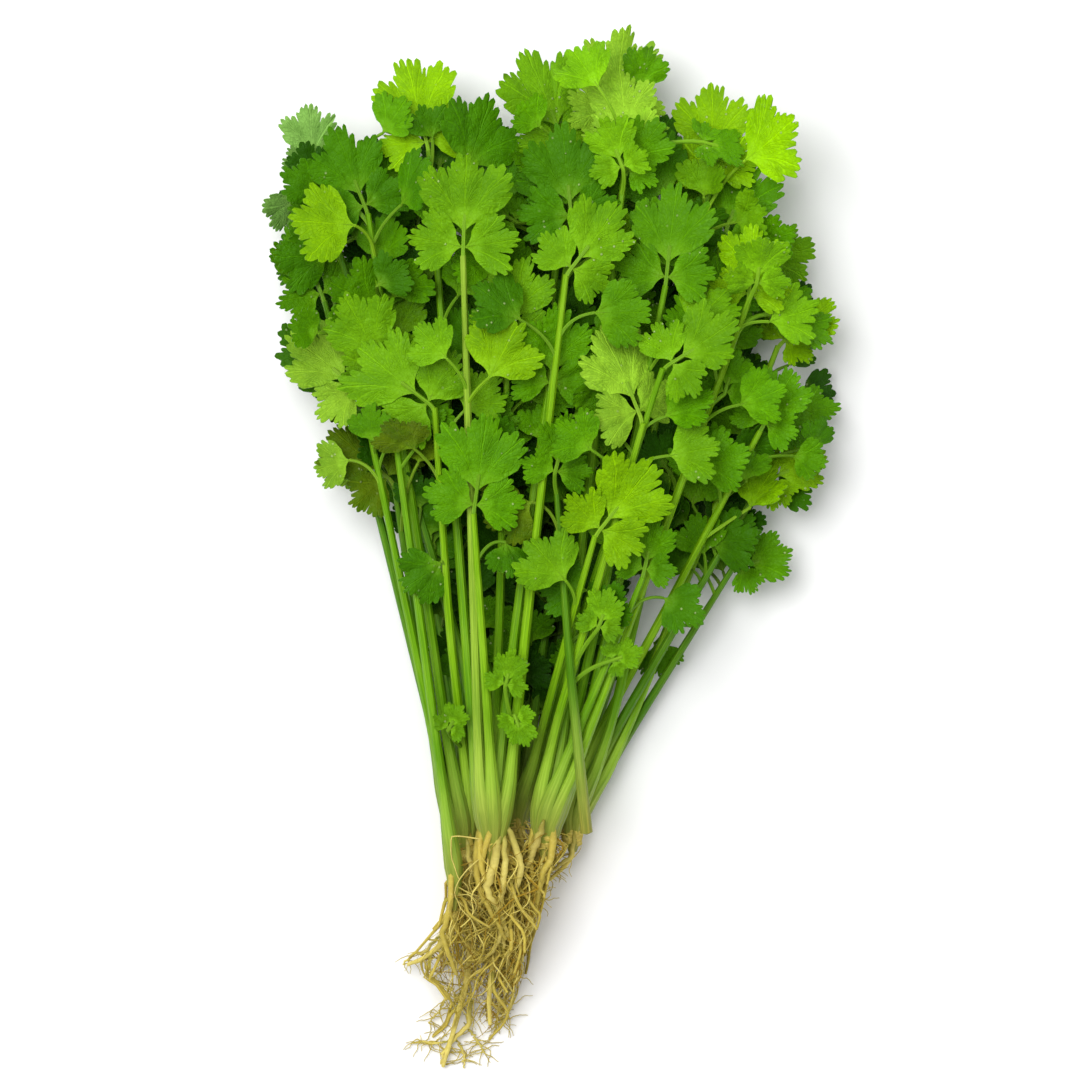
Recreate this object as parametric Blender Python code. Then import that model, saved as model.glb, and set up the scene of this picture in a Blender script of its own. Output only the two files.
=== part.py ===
"""Coriander bunch with roots, lying on a flat surface.

Whole young plants, pulled with their roots and laid down together. Each plant has a crown with a tap root and
rootlets below it, and leafy stems that fan out above it. Every leafy stem is one solid: its round stalk, the
short stalks that leave it and the lobed, toothed leaf blades. +Y runs from the roots to the leaf tips, +X is
to the right and +Z is up, and the surface is at height 0. Tables are in millimetres, as x, y and height.
"""

import math
import random

import bmesh
import bpy
import numpy as np
from mathutils import Matrix, Vector
from mathutils.bvhtree import BVHTree

MM = 0.001

# Driving dimensions, in millimetres and degrees. The bunch's box, which no leaf leaves.
BUNCH_LEFT = -91
BUNCH_RIGHT = 90
BUNCH_TOP = 166
BUNCH_HEIGHT = 58

# Round stalks of the leafy stems.
STEM_FOOT_RADIUS = 1.75
STEM_RADIUS = 1.6
STEM_TIP_RADIUS = 0.85
STEM_SIDES = 5
STEM_BEND_EVERY = 30
STEM_GAP = 0.9
STEM_FLOOR = 1.5

# Leaf blades: a leaf has one leaflet, or three on a short rachis. Its teeth are cut as shares of its reach.
BLADE_THICKNESS = 0.8
BLADE_CLEARANCE = 0.5
BLADE_BEND = (-0.22, 0.16)
BLADE_FOLD = (-0.12, 0.3)
STALK_HALF_WIDTH = 0.75
STALK_SWING = 0.45
RACHIS_SHARE = 0.55
LEAFLET_SPREAD = 60
SIDE_LEAFLET_SPREAD = 52
SIDE_LEAFLET_TURN = 80
SIDE_LEAFLET_SHARE = 0.85
END_LEAFLET_TEETH = 5
OTHER_LEAFLET_TEETH = 4
OUTER_TOOTH_CUT = 0.3
LOBE_VALLEY = 0.7
TOOTH_VALLEY = 0.86

# How a leaf may differ from its place in the table.
TIP_LEAF_REACH = 2
TIP_LEAF_SIZES = (1.0, 0.88, 0.76, 0.62)
SIDE_LEAF_SIZES = (1.2, 1.05, 0.9, 0.75, 0.6)
SIDE_LEAF_PITCH = (-22, 26)
SIDE_LEAF_ROLL = (-32, 32)
RISES = (0, 1.5, -1.5, 3, -3, 5, -5, 8, -8, 11, -11)
TURNS = ((0, 0, 0), (0, 16, 0), (0, -16, 0), (14, 0, 12), (-14, 0, -12), (10, 24, -20), (10, -24, 20))

# Crowns and roots.
CROWN_SLOT_RING = 4.0
CROWN_RING_PLACES = 6
CROWN_RADIUS = 5.9
CROWN_DEPTH = 10
CROWN_GAP = 0.35
ROOT_TIP_RADIUS = 0.6
ROOT_SIDES = 6
ROOT_ROWS = 11
ROOTLET_RADIUS = 0.55
ROOTLET_TAPER = (1.3, 1.1, 1.0, 0.8)
ROOTLET_REACH = (10, 22)
ROOTLET_SIDES = 3
ROOTLET_TRIES = 12

# Each plant's crown, where its stems meet its root. The last one is a single cut stem with no root.
CROWNS = {
    "left": (-29, -89, 12),
    "front": (-19, -87, 27),
    "middle": (-12, -82, 9),
    "right": (-2, -86, 25),
    "far_right": (6, -84, 11),
    "low_left": (-31, -102, 25),
    "cut": (10.5, -88, 31),
}

# Each leafy stem: its plant, the points it passes through, and the leaf on its tip as heading, length, pitch
# and roll. The last entry lists its side leaves: the y where the stalk leaves the stem, the blade's foot as x
# and y, its rise over the stem there, and its heading and length. A heading is turned from +X towards +Y.
STEMS = [
    ("front", [(-23, -50, 33), (-25, 0, 38), (-26, 45, 45), (-28, 92, 51)], (88, 20, 4, 0),
     [(46, -20, 54, 6, 62, 17), (50, -33, 60, 5, 130, 12)]),
    ("front", [(-20, -50, 34), (-22, -10, 37), (-25, 12, 44)], (82, 19, 10, 8), [(-3, -15, 3, -2, 285, 11)]),
    ("middle", [(-14, -50, 18), (-17, -10, 26), (-16, 40, 34), (-14, 66, 40)], (80, 17, 12, -14),
     [(40, -8, 48, -2, 30, 14), (52, -24, 62, -6, 130, 14)]),
    ("front", [(-14, -50, 23), (-11, -10, 31), (-7, 25, 38), (-1, 50, 43)], (84, 16, 10, 6),
     [(20, -14, 30, -3, 140, 13), (30, 6, 42, 1, 50, 13)]),
    ("cut", [(11, -60, 34), (9, -35, 37), (4, -8, 40), (1, 20, 41)], (96, 13, 6, -10),
     [(4, -6, 16, 2, 205, 15), (-2, 9, 10, 4, 20, 13)]),
    ("left", [(-42, -58, 14), (-45, -25, 17), (-45, 0, 19), (-50, 21, 22)], (128, 17, -8, 14),
     [(6, -43, 24, 4, 80, 15), (2, -52, 26, 2, 165, 12)]),
    ("left", [(-39, -50, 19), (-43, -10, 24), (-50, 30, 28), (-60, 50, 31)], (140, 18, -6, 10),
     [(25, -46, 40, 5, 60, 15), (20, -60, 30, -6, 196, 11)]),
    ("left", [(-34, -50, 25), (-36, -15, 29), (-31, 28, 35), (-37, 45, 41)], (142, 20, 0, -8),
     [(-12, -35, -3, 3, 205, 13), (22, -42, 30, -4, 120, 13), (28, -28, 44, 0, 60, 13)]),
    ("left", [(-36, -40, 18), (-38, 20, 25), (-45, 80, 32), (-58, 106, 34)], (112, 17, 6, 10),
     [(92, -62, 102, 8, 176, 17), (96, -48, 108, 4, 40, 16), (64, -55, 76, -2, 150, 17)]),
    ("front", [(-28, -50, 25), (-33, 10, 27), (-46, 80, 27), (-75, 119, 23)], (96, 13, 6, 12),
     [(104, -80, 112, -2, 205, 13), (84, -70, 94, 1, 186, 15), (50, -48, 66, 2, 120, 16)]),
    ("front", [(-24, -40, 27), (-32, 20, 30), (-38, 80, 34), (-39, 126, 31)], (104, 19, -4, 4),
     [(108, -27, 120, 3, 72, 20), (96, -46, 112, 1, 130, 15), (70, -30, 80, 4, 60, 15)]),
    ("middle", [(-6, -40, 15), (0, 10, 22), (9, 70, 28), (19, 136, 24)], (84, 18, -6, 4),
     [(112, 6, 124, 2, 112, 17), (104, 28, 120, -2, 60, 17), (60, 20, 72, 2, 50, 16)]),
    ("right", [(4, -40, 29), (9, 10, 38), (15, 60, 44), (23, 126, 41)], (94, 16, -5, -6),
     [(96, 8, 108, 2, 120, 19), (80, 28, 92, 3, 48, 17)]),
    ("middle", [(-10, -40, 12), (-6, 20, 18), (0, 80, 26), (4, 127, 27)], (112, 20, 0, 10),
     [(96, -12, 108, 4, 135, 18), (70, -9, 84, 0, 140, 15), (88, 12, 100, -4, 45, 14)]),
    ("right", [(13, -40, 29), (25, 10, 34), (39, 65, 35), (50, 118, 29)], (90, 18, -6, -4),
     [(100, 59, 122, 2, 34, 19), (88, 38, 112, 2, 112, 17), (60, 50, 76, 5, 48, 15)]),
    ("right", [(14, -40, 33), (28, 5, 38), (48, 40, 41), (61, 78, 38)], (86, 15, 6, -4),
     [(40, 58, 46, 3, 20, 13), (52, 46, 66, 2, 110, 15), (20, 46, 26, 0, 20, 14)]),
    ("far_right", [(24, -50, 14), (40, -15, 17), (58, 18, 19), (71, 65, 20)], (40, 13, -4, -10),
     [(36, 77, 44, -2, 20, 13), (20, 60, 36, 6, 100, 14)]),
    ("far_right", [(22, -50, 17), (38, -15, 21), (54, 8, 26), (65, 38, 30)], (60, 14, 0, -12),
     [(14, 50, 24, 4, 118, 15), (4, 62, 14, -2, 60, 12)]),
    ("far_right", [(16, -50, 20), (30, -20, 21), (49, 6, 20), (66, 22, 17)], (24, 13, -4, -14),
     [(-2, 44, 14, 4, 80, 16), (8, 59, 5, -6, 320, 11)]),
    ("far_right", [(20, -50, 12), (33, -22, 13), (45, -10, 13), (57, -5, 13)], (14, 12, 0, -8),
     [(-24, 31, -27, 4, 300, 10), (-14, 42, 0, 2, 96, 13)]),
    ("middle", [(0, -45, 24), (8, -15, 36), (13, 5, 46)], (52, 18, 8, 8),
     [(-18, 4, -9, 6, 130, 15), (-30, 12, -24, -6, 40, 12)]),
    ("right", [(10, -45, 33), (20, -22, 37), (28, -8, 39)], (78, 12, 6, -10),
     [(-24, 14, -14, 5, 150, 14), (-20, 34, -14, -5, 330, 12)]),
    ("right", [(5, -45, 31), (15, 0, 40), (24, 25, 47), (28, 40, 50)], (112, 19, 6, 12),
     [(18, 14, 30, 1, 140, 13), (24, 36, 30, 0, 10, 14)]),
    ("middle", [(-4, -45, 17), (6, 0, 28), (22, 40, 40), (34, 57, 52)], (32, 16, 6, -14),
     [(30, 10, 44, -2, 130, 14), (38, 34, 42, -2, 10, 14)]),
    ("front", [(-16, -45, 38), (-12, 0, 48), (-6, 45, 53), (4, 86, 53)], (52, 17, 0, 10),
     [(60, -10, 72, 2, 130, 15), (66, 12, 74, 1, 20, 15)]),
    ("right", [(7, -40, 26), (18, 10, 33), (28, 50, 40), (35, 83, 45)], (84, 19, 4, -8),
     [(46, 20, 56, 2, 124, 16), (56, 42, 68, 0, 60, 15)]),
    ("front", [(-18, -40, 24), (-14, 20, 32), (-6, 70, 38), (6, 102, 43)], (96, 19, 2, 4),
     [(74, -16, 88, 1, 150, 15), (84, 16, 92, 2, 30, 14)]),
    ("far_right", [(28, -45, 19), (44, -5, 23), (50, 50, 27), (53, 97, 25)], (70, 17, 4, -14),
     [(76, 66, 92, -4, 18, 15), (60, 42, 84, 3, 110, 16)]),
    ("left", [(-42, -55, 10), (-46, -10, 13), (-54, 40, 18), (-72, 79, 21)], (112, 17, 0, 14),
     [(60, -76, 92, 0, 178, 15), (50, -58, 64, 3, 80, 12), (26, -62, 47, -3, 160, 12)]),
    ("low_left", [(-38, -80, 24), (-43, -45, 26), (-44, 5, 26), (-52, 56, 34)], (118, 17, 8, 8),
     [(26, -38, 38, 2, 70, 11), (38, -60, 62, -3, 150, 14)]),
    # The stems that lie lowest, with some of their leaves spread on the surface.
    ("left", [(-34, -45, 7), (-38, 5, 6), (-46, 50, 6), (-52, 92, 6)], (108, 18, -6, 6),
     [(40, -58, 52, -8, 140, 18), (60, -36, 76, 1, 60, 17)]),
    ("left", [(-28, -45, 10), (-26, 10, 10), (-24, 60, 11), (-22, 108, 12)], (100, 19, -6, -6),
     [(50, -32, 66, 2, 120, 16), (70, -12, 84, 1, 50, 16)]),
    ("middle", [(-12, -45, 6), (-6, 10, 6), (0, 60, 8), (4, 100, 10)], (86, 19, -4, 6),
     [(-16, -2, -9, -8, 84, 19), (50, -14, 66, 3, 130, 16), (64, 12, 76, 1, 50, 15)]),
    ("right", [(8, -45, 12), (16, 10, 10), (26, 60, 10), (32, 108, 12)], (80, 19, -6, -4),
     [(54, 18, 70, 1, 120, 16), (66, 44, 78, 2, 50, 17)]),
    ("far_right", [(20, -45, 7), (34, 0, 6), (46, 40, 7), (56, 74, 8)], (80, 19, -4, -8),
     [(20, 34, 34, 1, 110, 17), (30, 58, 42, -8, 30, 19)]),
    ("middle", [(-14, -45, 10), (-22, 0, 14), (-34, 30, 15), (-42, 48, 16)], (112, 17, 0, 8),
     [(4, -20, 20, 2, 80, 15), (12, -42, 20, -3, 160, 13)]),
]

# The side leaves that lie flat on the surface: the stem's number and the leaf's place in its list.
FLAT_LEAVES = {(30, 0), (32, 0), (34, 1)}

# Each plant's tap root, from its crown down: the points it passes through, and its radius at the crown.
TAP_ROOTS = {
    "left": ([(-28, -98, 12), (-26, -116, 9), (-27, -134, 7), (-31, -150, 4), (-35, -164, 2)], 3.0),
    "front": ([(-15, -96, 27), (-13, -108, 22), (-17, -122, 17), (-20, -138, 11), (-20, -150, 7)], 3.2),
    "middle": ([(-11, -96, 8), (-11, -110, 7), (-13, -124, 6), (-12, -136, 4)], 2.6),
    "right": ([(-4, -94, 22), (-7, -104, 17), (-9, -116, 13), (-10, -130, 9)], 2.6),
    "far_right": ([(6, -93, 10), (5, -98, 10), (-1, -104, 11)], 1.8),
    "low_left": ([(-30, -110, 22), (-32, -120, 18), (-40, -128, 12), (-46, -131, 8)], 2.2),
}
THIN_CROWN_RADIUS = {"low_left": 2.6}
ROOTLETS_PER_ROOT = {"left": 8, "front": 10, "middle": 7, "right": 6, "far_right": 2, "low_left": 5}

# Colours from the photograph, as red, green and blue in linear light: leaves in the shade under the bunch,
# leaves in the light on top of it, and roots, pale and dark.
DEEP_GREEN = Vector((0.05, 0.17, 0.005))
BRIGHT_GREEN = Vector((0.2, 0.42, 0.02))
PALE_ROOT = Vector((0.42, 0.31, 0.09))
DARK_ROOT = Vector((0.24, 0.16, 0.05))
LEAF_ROUGHNESS = 0.45
ROOT_ROUGHNESS = 0.8


def smooth_line(points, shares):
    """Points at these shares of a smooth curve through the given ones, by Catmull and Rom's formula."""
    through = [2 * points[0] - points[1], *points, 2 * points[-1] - points[-2]]
    spans = len(points) - 1
    line = []
    for share in shares:
        place = min(share * spans, spans - 1e-9)
        i = int(place)
        t = place - i
        a, b, c, d = through[i : i + 4]
        line.append(0.5 * (2 * b + (c - a) * t + (2 * a - 5 * b + 4 * c - d) * t**2
                           + (3 * b - a - 3 * c + d) * t**3))
    return line


# Stems: where they run

LEVEL_STEP = 6
ROUTE_TURNS = 600
ROUTE_SMOOTHING = 0.02


def stem_radius(share):
    """A stem's radius at a share of its length: broad at the foot, slim at the tip."""
    return STEM_RADIUS + (STEM_TIP_RADIUS - STEM_RADIUS) * share**1.3


def crown_slots(plant, members):
    """Where a plant's stems stand on its crown: one in the middle and a ring round it, turned to suit them."""
    x, _, z = CROWNS[plant]
    lean = {k: Vector((STEMS[k][1][0][0] - x, STEMS[k][1][0][2] - z)) for k in members}
    inner = min(members, key=lambda k: lean[k].length)
    outer = sorted((k for k in members if k != inner), key=lambda k: math.atan2(lean[k].y, lean[k].x))

    def ring(turn):
        step = math.tau / max(len(outer), CROWN_RING_PLACES)
        angles = [turn + step * place for place in range(len(outer))]
        return [CROWN_SLOT_RING * Vector((math.cos(a), math.sin(a))) for a in angles]

    turns = [math.tau * step / 36 for step in range(36)]
    best = max(turns, key=lambda turn: sum(spot.dot(lean[k]) for spot, k in zip(ring(turn), outer)))
    slots = {k: (x + spot.x, z + spot.y) for spot, k in zip(ring(best), outer)}
    slots[inner] = (x, z)
    return slots


def route_stems():
    """Every stem as a line of straight runs, its bends pushed apart until no two stems touch at any level."""
    levels = np.arange(-108, 157, LEVEL_STEP)
    slots = {}
    for plant in CROWNS:
        slots.update(crown_slots(plant, [k for k, stem in enumerate(STEMS) if stem[0] == plant]))
    heights, bends, shares = [], [], []
    alive = np.zeros((len(STEMS), len(levels)), bool)
    radius = np.zeros((len(STEMS), len(levels)))
    for k, (plant, through, _, _) in enumerate(STEMS):
        low, high = CROWNS[plant][1], through[-1][1]
        path = [Vector((slots[k][0], low, slots[k][1]))] + [Vector(p) for p in through]
        line = np.array(smooth_line(path, np.linspace(0, 1, 80)))
        runs = max(2, round((high - low) / STEM_BEND_EVERY))
        bend_y = np.linspace(low, high, runs + 1)
        heights.append(bend_y)
        bends.append(np.array([[np.interp(y, line[:, 1], line[:, a]) for a in (0, 2)] for y in bend_y]))
        alive[k] = (levels >= low - LEVEL_STEP) & (levels <= high + LEVEL_STEP)
        radius[k] = [stem_radius(share) for share in np.clip((levels - low) / (high - low), 0, 1)]
        # Each level's share of each bend: 1 at the bend, down to 0 at the bends next to it.
        shares.append(np.array([np.interp(levels, bend_y, row) for row in np.eye(runs + 1)]).T)
    for _ in range(ROUTE_TURNS):
        place = np.array([share @ bend for share, bend in zip(shares, bends)])
        apart = place[:, None] - place[None]
        distance = np.hypot(apart[..., 0], apart[..., 1]) + 1e-6
        push = np.clip(radius[:, None] + radius[None] + STEM_GAP - distance, 0, None)
        push *= alive[:, None] & alive[None] & ~np.eye(len(STEMS), dtype=bool)[..., None]
        shift = (apart / distance[..., None] * push[..., None]).sum(1)
        for k, (share, bend) in enumerate(zip(shares, bends)):
            bend[1:] += (share.T @ shift[k])[1:] / share.sum(0)[1:, None]
            bend[1:-1] += ROUTE_SMOOTHING * (bend[:-2] + bend[2:] - 2 * bend[1:-1])
            bend[:, 1] = np.maximum(bend[:, 1], STEM_RADIUS + STEM_FLOOR)
    return [
        [Vector((x, y, z)) for y, (x, z) in zip(bend_y, bend)] for bend_y, bend in zip(heights, bends)
    ]


def at_level(line, y):
    """The point of a stem's line at this y."""
    y = min(max(y, line[0].y), line[-1].y)
    i = min(int((y - line[0].y) / (line[1].y - line[0].y)), len(line) - 2)
    return line[i].lerp(line[i + 1], (y - line[i].y) / (line[i + 1].y - line[i].y))


# Meshes of stalks and roots

def tube(points, radii, sides, foot_along=None):
    """A closed round bar along the points, whose foot may be cut square to a given direction."""
    corners, faces = [], []
    side = Vector((1, 0, 0))
    for i, point in enumerate(points):
        along = (points[min(i + 1, len(points) - 1)] - points[max(i - 1, 0)]).normalized()
        if i == 0 and foot_along:
            along = foot_along
        side = (side - along * side.dot(along)).normalized()
        other = along.cross(side)
        for s in range(sides):
            angle = math.tau * s / sides
            corners.append(point + radii[i] * (math.cos(angle) * side + math.sin(angle) * other))
    for i in range(len(points) - 1):
        for s in range(sides):
            a, b = i * sides + s, i * sides + (s + 1) % sides
            faces += [(a, b, b + sides), (a, b + sides, a + sides)]
    last = (len(points) - 1) * sides
    for s in range(1, sides - 1):
        faces += [(0, s + 1, s), (last, last + s, last + s + 1)]
    return corners, faces


# Meshes of leaves

class Blade:
    """One closed leaf: two skins split into the same triangles, and a rim between them."""

    def __init__(self):
        self.corners = []
        self.faces = []

    def pair(self, point, normal, half):
        """Adds a point of the upper skin and the one below it, and gives the upper one's number."""
        self.corners += [point + normal * half, point - normal * half]
        return len(self.corners) - 2

    def skin(self, a, b, c):
        self.faces += [(a, b, c), (a + 1, c + 1, b + 1)]

    def wall(self, a, b):
        self.faces += [(a, a + 1, b + 1), (a, b + 1, b)]

    def strip(self, low, high):
        """Joins two rows, each a right and a left pair."""
        self.skin(low[0], high[0], high[1])
        self.skin(low[0], high[1], low[1])


def leaflet_edge(length, spread, teeth, draw):
    """The toothed edge of one leaflet, right to left, as points along and across it, with three lobes."""
    edge = []
    for step in range(2 * teeth - 1):
        share = step / (teeth - 1) - 1
        reach = length * (1 - OUTER_TOOTH_CUT * share * share) * draw.uniform(0.95, 1.05)
        if step % 2:
            between_lobes = 0.2 < abs(share) < 0.7
            reach *= LOBE_VALLEY if between_lobes else TOOTH_VALLEY
        angle = math.radians(spread * share)
        edge.append((reach * math.cos(angle), reach * math.sin(angle)))
    return edge


def leaf_mesh(start, start_along, foot, heading, pitch, roll, length, trio, bend, fold, seed, thickness):
    """A leaf: a stalk that swings from start to foot, then one leaflet, or three on a short rachis."""
    draw = random.Random(seed)
    turn = (Matrix.Rotation(math.radians(heading), 3, "Z") @ Matrix.Rotation(math.radians(-pitch), 3, "Y")
            @ Matrix.Rotation(math.radians(roll), 3, "X"))
    ahead, left, up = turn.col[0], turn.col[1], turn.col[2]
    half = thickness / 2
    wide = STALK_HALF_WIDTH
    blade = Blade()

    def row(centre, side, normal):
        return blade.pair(centre - side * wide, normal, half), blade.pair(centre + side * wide, normal, half)

    def leaflet(right_corner, left_corner, base, turned, size, spread, teeth):
        angle = math.radians(turned)
        out = ahead * math.cos(angle) + left * math.sin(angle)
        across = left * math.cos(angle) - ahead * math.sin(angle)

        def point(u, v):
            lift = bend * u * u / size + fold * abs(v)
            return blade.pair(base + out * u + across * v + up * lift, up, half)

        middle = point(size / 2, 0)
        edge = [right_corner, *(point(u, v) for u, v in leaflet_edge(size, spread, teeth, draw)), left_corner]
        for a, b in zip(edge, edge[1:]):
            blade.skin(middle, a, b)
            blade.wall(a, b)
        blade.skin(middle, left_corner, right_corner)

    # The stalk: a flat strip along a curve that leaves the stem along it and meets the blade head on.
    swing = (foot - start).length * STALK_SWING
    control = (start + start_along * swing + foot - ahead * swing) / 2
    halfway = (start + 2 * control + foot) / 4
    rows = []
    for centre, along in ((start, control - start), (halfway, foot - start)):
        side = up.cross(along).normalized()
        rows.append(row(centre, side, along.cross(side).normalized()))
    rows.append(row(foot, left, up))
    blade.wall(rows[0][1], rows[0][0])
    for low, high in zip(rows, rows[1:]):
        blade.wall(low[0], high[0])
        blade.wall(high[1], low[1])

    tip = foot
    if trio:
        after_joint = row(foot + ahead * 2 * wide, left, up)
        tip = foot + ahead * RACHIS_SHARE * length
        middle = foot + ahead * wide
        joint = rows[-1]
        for corners, side in (((joint[0], after_joint[0]), -1), ((after_joint[1], joint[1]), 1)):
            leaflet(*corners, middle + side * left * wide, side * SIDE_LEAFLET_TURN,
                    SIDE_LEAFLET_SHARE * length, SIDE_LEAFLET_SPREAD, OTHER_LEAFLET_TEETH)
        rows += [after_joint, row(tip, left, up)]
        blade.wall(after_joint[0], rows[-1][0])
        blade.wall(rows[-1][1], after_joint[1])
    for low, high in zip(rows, rows[1:]):
        blade.strip(low, high)
    teeth = END_LEAFLET_TEETH if trio else OTHER_LEAFLET_TEETH
    leaflet(*rows[-1], tip, 0, length, LEAFLET_SPREAD, teeth)
    return blade.corners, blade.faces


# Leaves: where they sit

ROUNDING = 1e-6


class Obstacles:
    """The meshes already in place, which a new leaf or rootlet has to stay clear of."""

    def __init__(self):
        self.kept = []

    def add(self, owner, corners, faces):
        points = np.array(corners)
        self.kept.append((owner, points.min(0), points.max(0), BVHTree.FromPolygons(corners, faces)))

    def hit(self, corners, faces, spare=None):
        points = np.array(corners)
        low, high = points.min(0), points.max(0)
        tree = BVHTree.FromPolygons(corners, faces)
        return any(
            owner != spare and (low <= top).all() and (high >= bottom).all() and tree.overlap(other)
            for owner, bottom, top, other in self.kept
        )


def tip_leaf(k, line):
    """A stem's tip leaf as the table has it, of three leaflets."""
    heading, length, pitch, roll = STEMS[k][2]
    angle = math.radians(heading)
    foot = line[-1] + TIP_LEAF_REACH * Vector((math.cos(angle), math.sin(angle), 0))
    start = at_level(line, line[-1].y - TIP_LEAF_REACH)
    return dict(start=start, foot=foot, heading=heading, length=length, pitch=pitch, roll=roll, trio=True)


def side_leaf(k, number, line, draw):
    """A stem's side leaf as the table has it, of one leaflet, tilted unless it lies on the surface."""
    leave, x, y, rise, heading, length = STEMS[k][3][number]
    start = at_level(line, leave)
    if (k, number) in FLAT_LEAVES:
        foot, pitch, roll = Vector((x, y, BLADE_THICKNESS / 2)), 0, 0
    else:
        foot = Vector((x, y, start.z + rise))
        pitch, roll = draw.uniform(*SIDE_LEAF_PITCH), draw.uniform(*SIDE_LEAF_ROLL)
    return dict(start=start, foot=foot, heading=heading, length=length, pitch=pitch, roll=roll, trio=False)


def fitted(owner, wanted, changes, obstacles):
    """The first change of a leaf that stays in the bunch's box and clear of all in place, or None."""
    for size, rise, (pitch, roll, heading) in changes:
        angle = math.radians(wanted["heading"])
        shift = Vector((abs(rise) / 2 * math.cos(angle), abs(rise) / 2 * math.sin(angle), rise))
        pose = dict(wanted, foot=wanted["foot"] + shift, heading=wanted["heading"] + heading,
                    length=wanted["length"] * size, pitch=wanted["pitch"] + pitch, roll=wanted["roll"] + roll)
        corners, faces = leaf_mesh(thickness=BLADE_THICKNESS, **pose)
        low, high = np.min(corners, 0), np.max(corners, 0)
        too_low = low[0] < BUNCH_LEFT or low[2] < -ROUNDING
        if too_low or (high > (BUNCH_RIGHT, BUNCH_TOP, BUNCH_HEIGHT)).any():
            continue
        roomy = leaf_mesh(thickness=BLADE_THICKNESS + 2 * BLADE_CLEARANCE, **pose)
        if not obstacles.hit(*roomy, spare=(owner[0], "stalk")):
            obstacles.add(owner, corners, faces)
            return pose
    return None


def place_leaves(stems, obstacles):
    """Every leaf's pose, by stem. The tip leaves come first, because each stem keeps its own."""
    poses = {k: [] for k in range(len(stems))}
    order = [(k, "tip") for k in poses] + [(k, i) for k in poses for i in range(len(STEMS[k][3]))]
    for k, number in order:
        line = stems[k]
        draw = random.Random(f"{k} {number}")
        wanted = tip_leaf(k, line) if number == "tip" else side_leaf(k, number, line, draw)
        sizes, rises, turns = (TIP_LEAF_SIZES if number == "tip" else SIDE_LEAF_SIZES), RISES, TURNS
        bend, fold = draw.uniform(*BLADE_BEND), draw.uniform(*BLADE_FOLD)
        if (k, number) in FLAT_LEAVES:
            rises, turns = RISES[:1], TURNS[:1]
            bend = fold = 0
        leave = wanted["start"].y
        along = (at_level(line, leave + LEVEL_STEP) - at_level(line, leave - LEVEL_STEP)).normalized()
        wanted.update(start_along=along, bend=bend, fold=fold, seed=f"edge {k} {number}")
        changes = ((size, rise, turn) for size in sizes for rise in rises for turn in turns)
        pose = fitted((k, number), wanted, changes, obstacles)
        if pose:
            poses[k].append(pose)
    return poses


# Roots

def tap_root(plant, count):
    """A tap root's line and radii: the crown is a knob with a flat top, and the root tapers under it."""
    x, y, z = CROWNS[plant]
    through, thick = TAP_ROOTS[plant]
    crown = THIN_CROWN_RADIUS.get(plant, CROWN_RADIUS)
    top = y - CROWN_GAP
    path = [Vector((x, top, z)), Vector((x, top - CROWN_DEPTH / 2, z))] + [Vector(p) for p in through]
    line = smooth_line(path, np.linspace(0, 1, count) ** 1.5)
    radii = []
    gone = 0.0
    for i, point in enumerate(line):
        gone += (point - line[max(i - 1, 0)]).length
        slim = thick + (ROOT_TIP_RADIUS - thick) * i / (count - 1)
        knob = math.sqrt(max(0.0, 1 - (gone / CROWN_DEPTH) ** 2))
        radii.append(slim + (crown - thick) * knob)
        point.z = max(point.z, radii[-1])
    return line, radii


def rootlet_line(plant, number, line, attempt):
    """A rootlet that leaves the tap root, spreads sideways and then trails down, never under the surface."""
    draw = random.Random(f"{plant} {number} {attempt}")
    start = line[int(len(line) * draw.uniform(0.25, 0.85))]
    side = Vector((draw.uniform(-1, 1), draw.uniform(-0.9, -0.2), draw.uniform(-0.7, 0.5))).normalized()
    runs = len(ROOTLET_TAPER) - 1
    run = side * draw.uniform(*ROOTLET_REACH) / runs
    points = [start]
    for step in range(1, runs + 1):
        sway = Vector((draw.uniform(-2, 2), -1.6 * step, -0.6 * step))
        point = start + run * step + sway
        point.z = max(point.z, ROOTLET_RADIUS)
        points.append(point)
    return points


def place_roots(obstacles):
    """Each plant's root as a list of meshes: the tap root first, then its rootlets that found room."""
    roots = {}
    radii = [ROOTLET_RADIUS * share for share in ROOTLET_TAPER]
    for plant in TAP_ROOTS:
        mesh = tube(*tap_root(plant, ROOT_ROWS), ROOT_SIDES)
        roots[plant] = [mesh]
        obstacles.add((plant, "tap"), *mesh)
    for plant in TAP_ROOTS:
        line, _ = tap_root(plant, 4 * ROOT_ROWS)
        for number in range(ROOTLETS_PER_ROOT[plant]):
            for attempt in range(ROOTLET_TRIES):
                points = rootlet_line(plant, number, line, attempt)
                roomy = tube(points, [r + BLADE_CLEARANCE for r in radii], ROOTLET_SIDES)
                if not obstacles.hit(*roomy, spare=(plant, "tap")):
                    mesh = tube(points, radii, ROOTLET_SIDES)
                    roots[plant].append(mesh)
                    obstacles.add((plant, number), *mesh)
                    break
    return roots


# Solids

def finish(name, colour, roughness):
    made = bpy.data.materials.new(name)
    made.use_nodes = True
    surface = made.node_tree.nodes["Principled BSDF"]
    surface.inputs["Base Color"].default_value = (*colour, 1)
    surface.inputs["Roughness"].default_value = roughness
    surface.inputs["Metallic"].default_value = 0
    return made


def mesh_object(name, corners, faces):
    mesh = bpy.data.meshes.new(name)
    mesh.from_pydata([c * MM for c in corners], [], faces)
    mesh.update()
    return bpy.data.objects.new(name, mesh)


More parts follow.
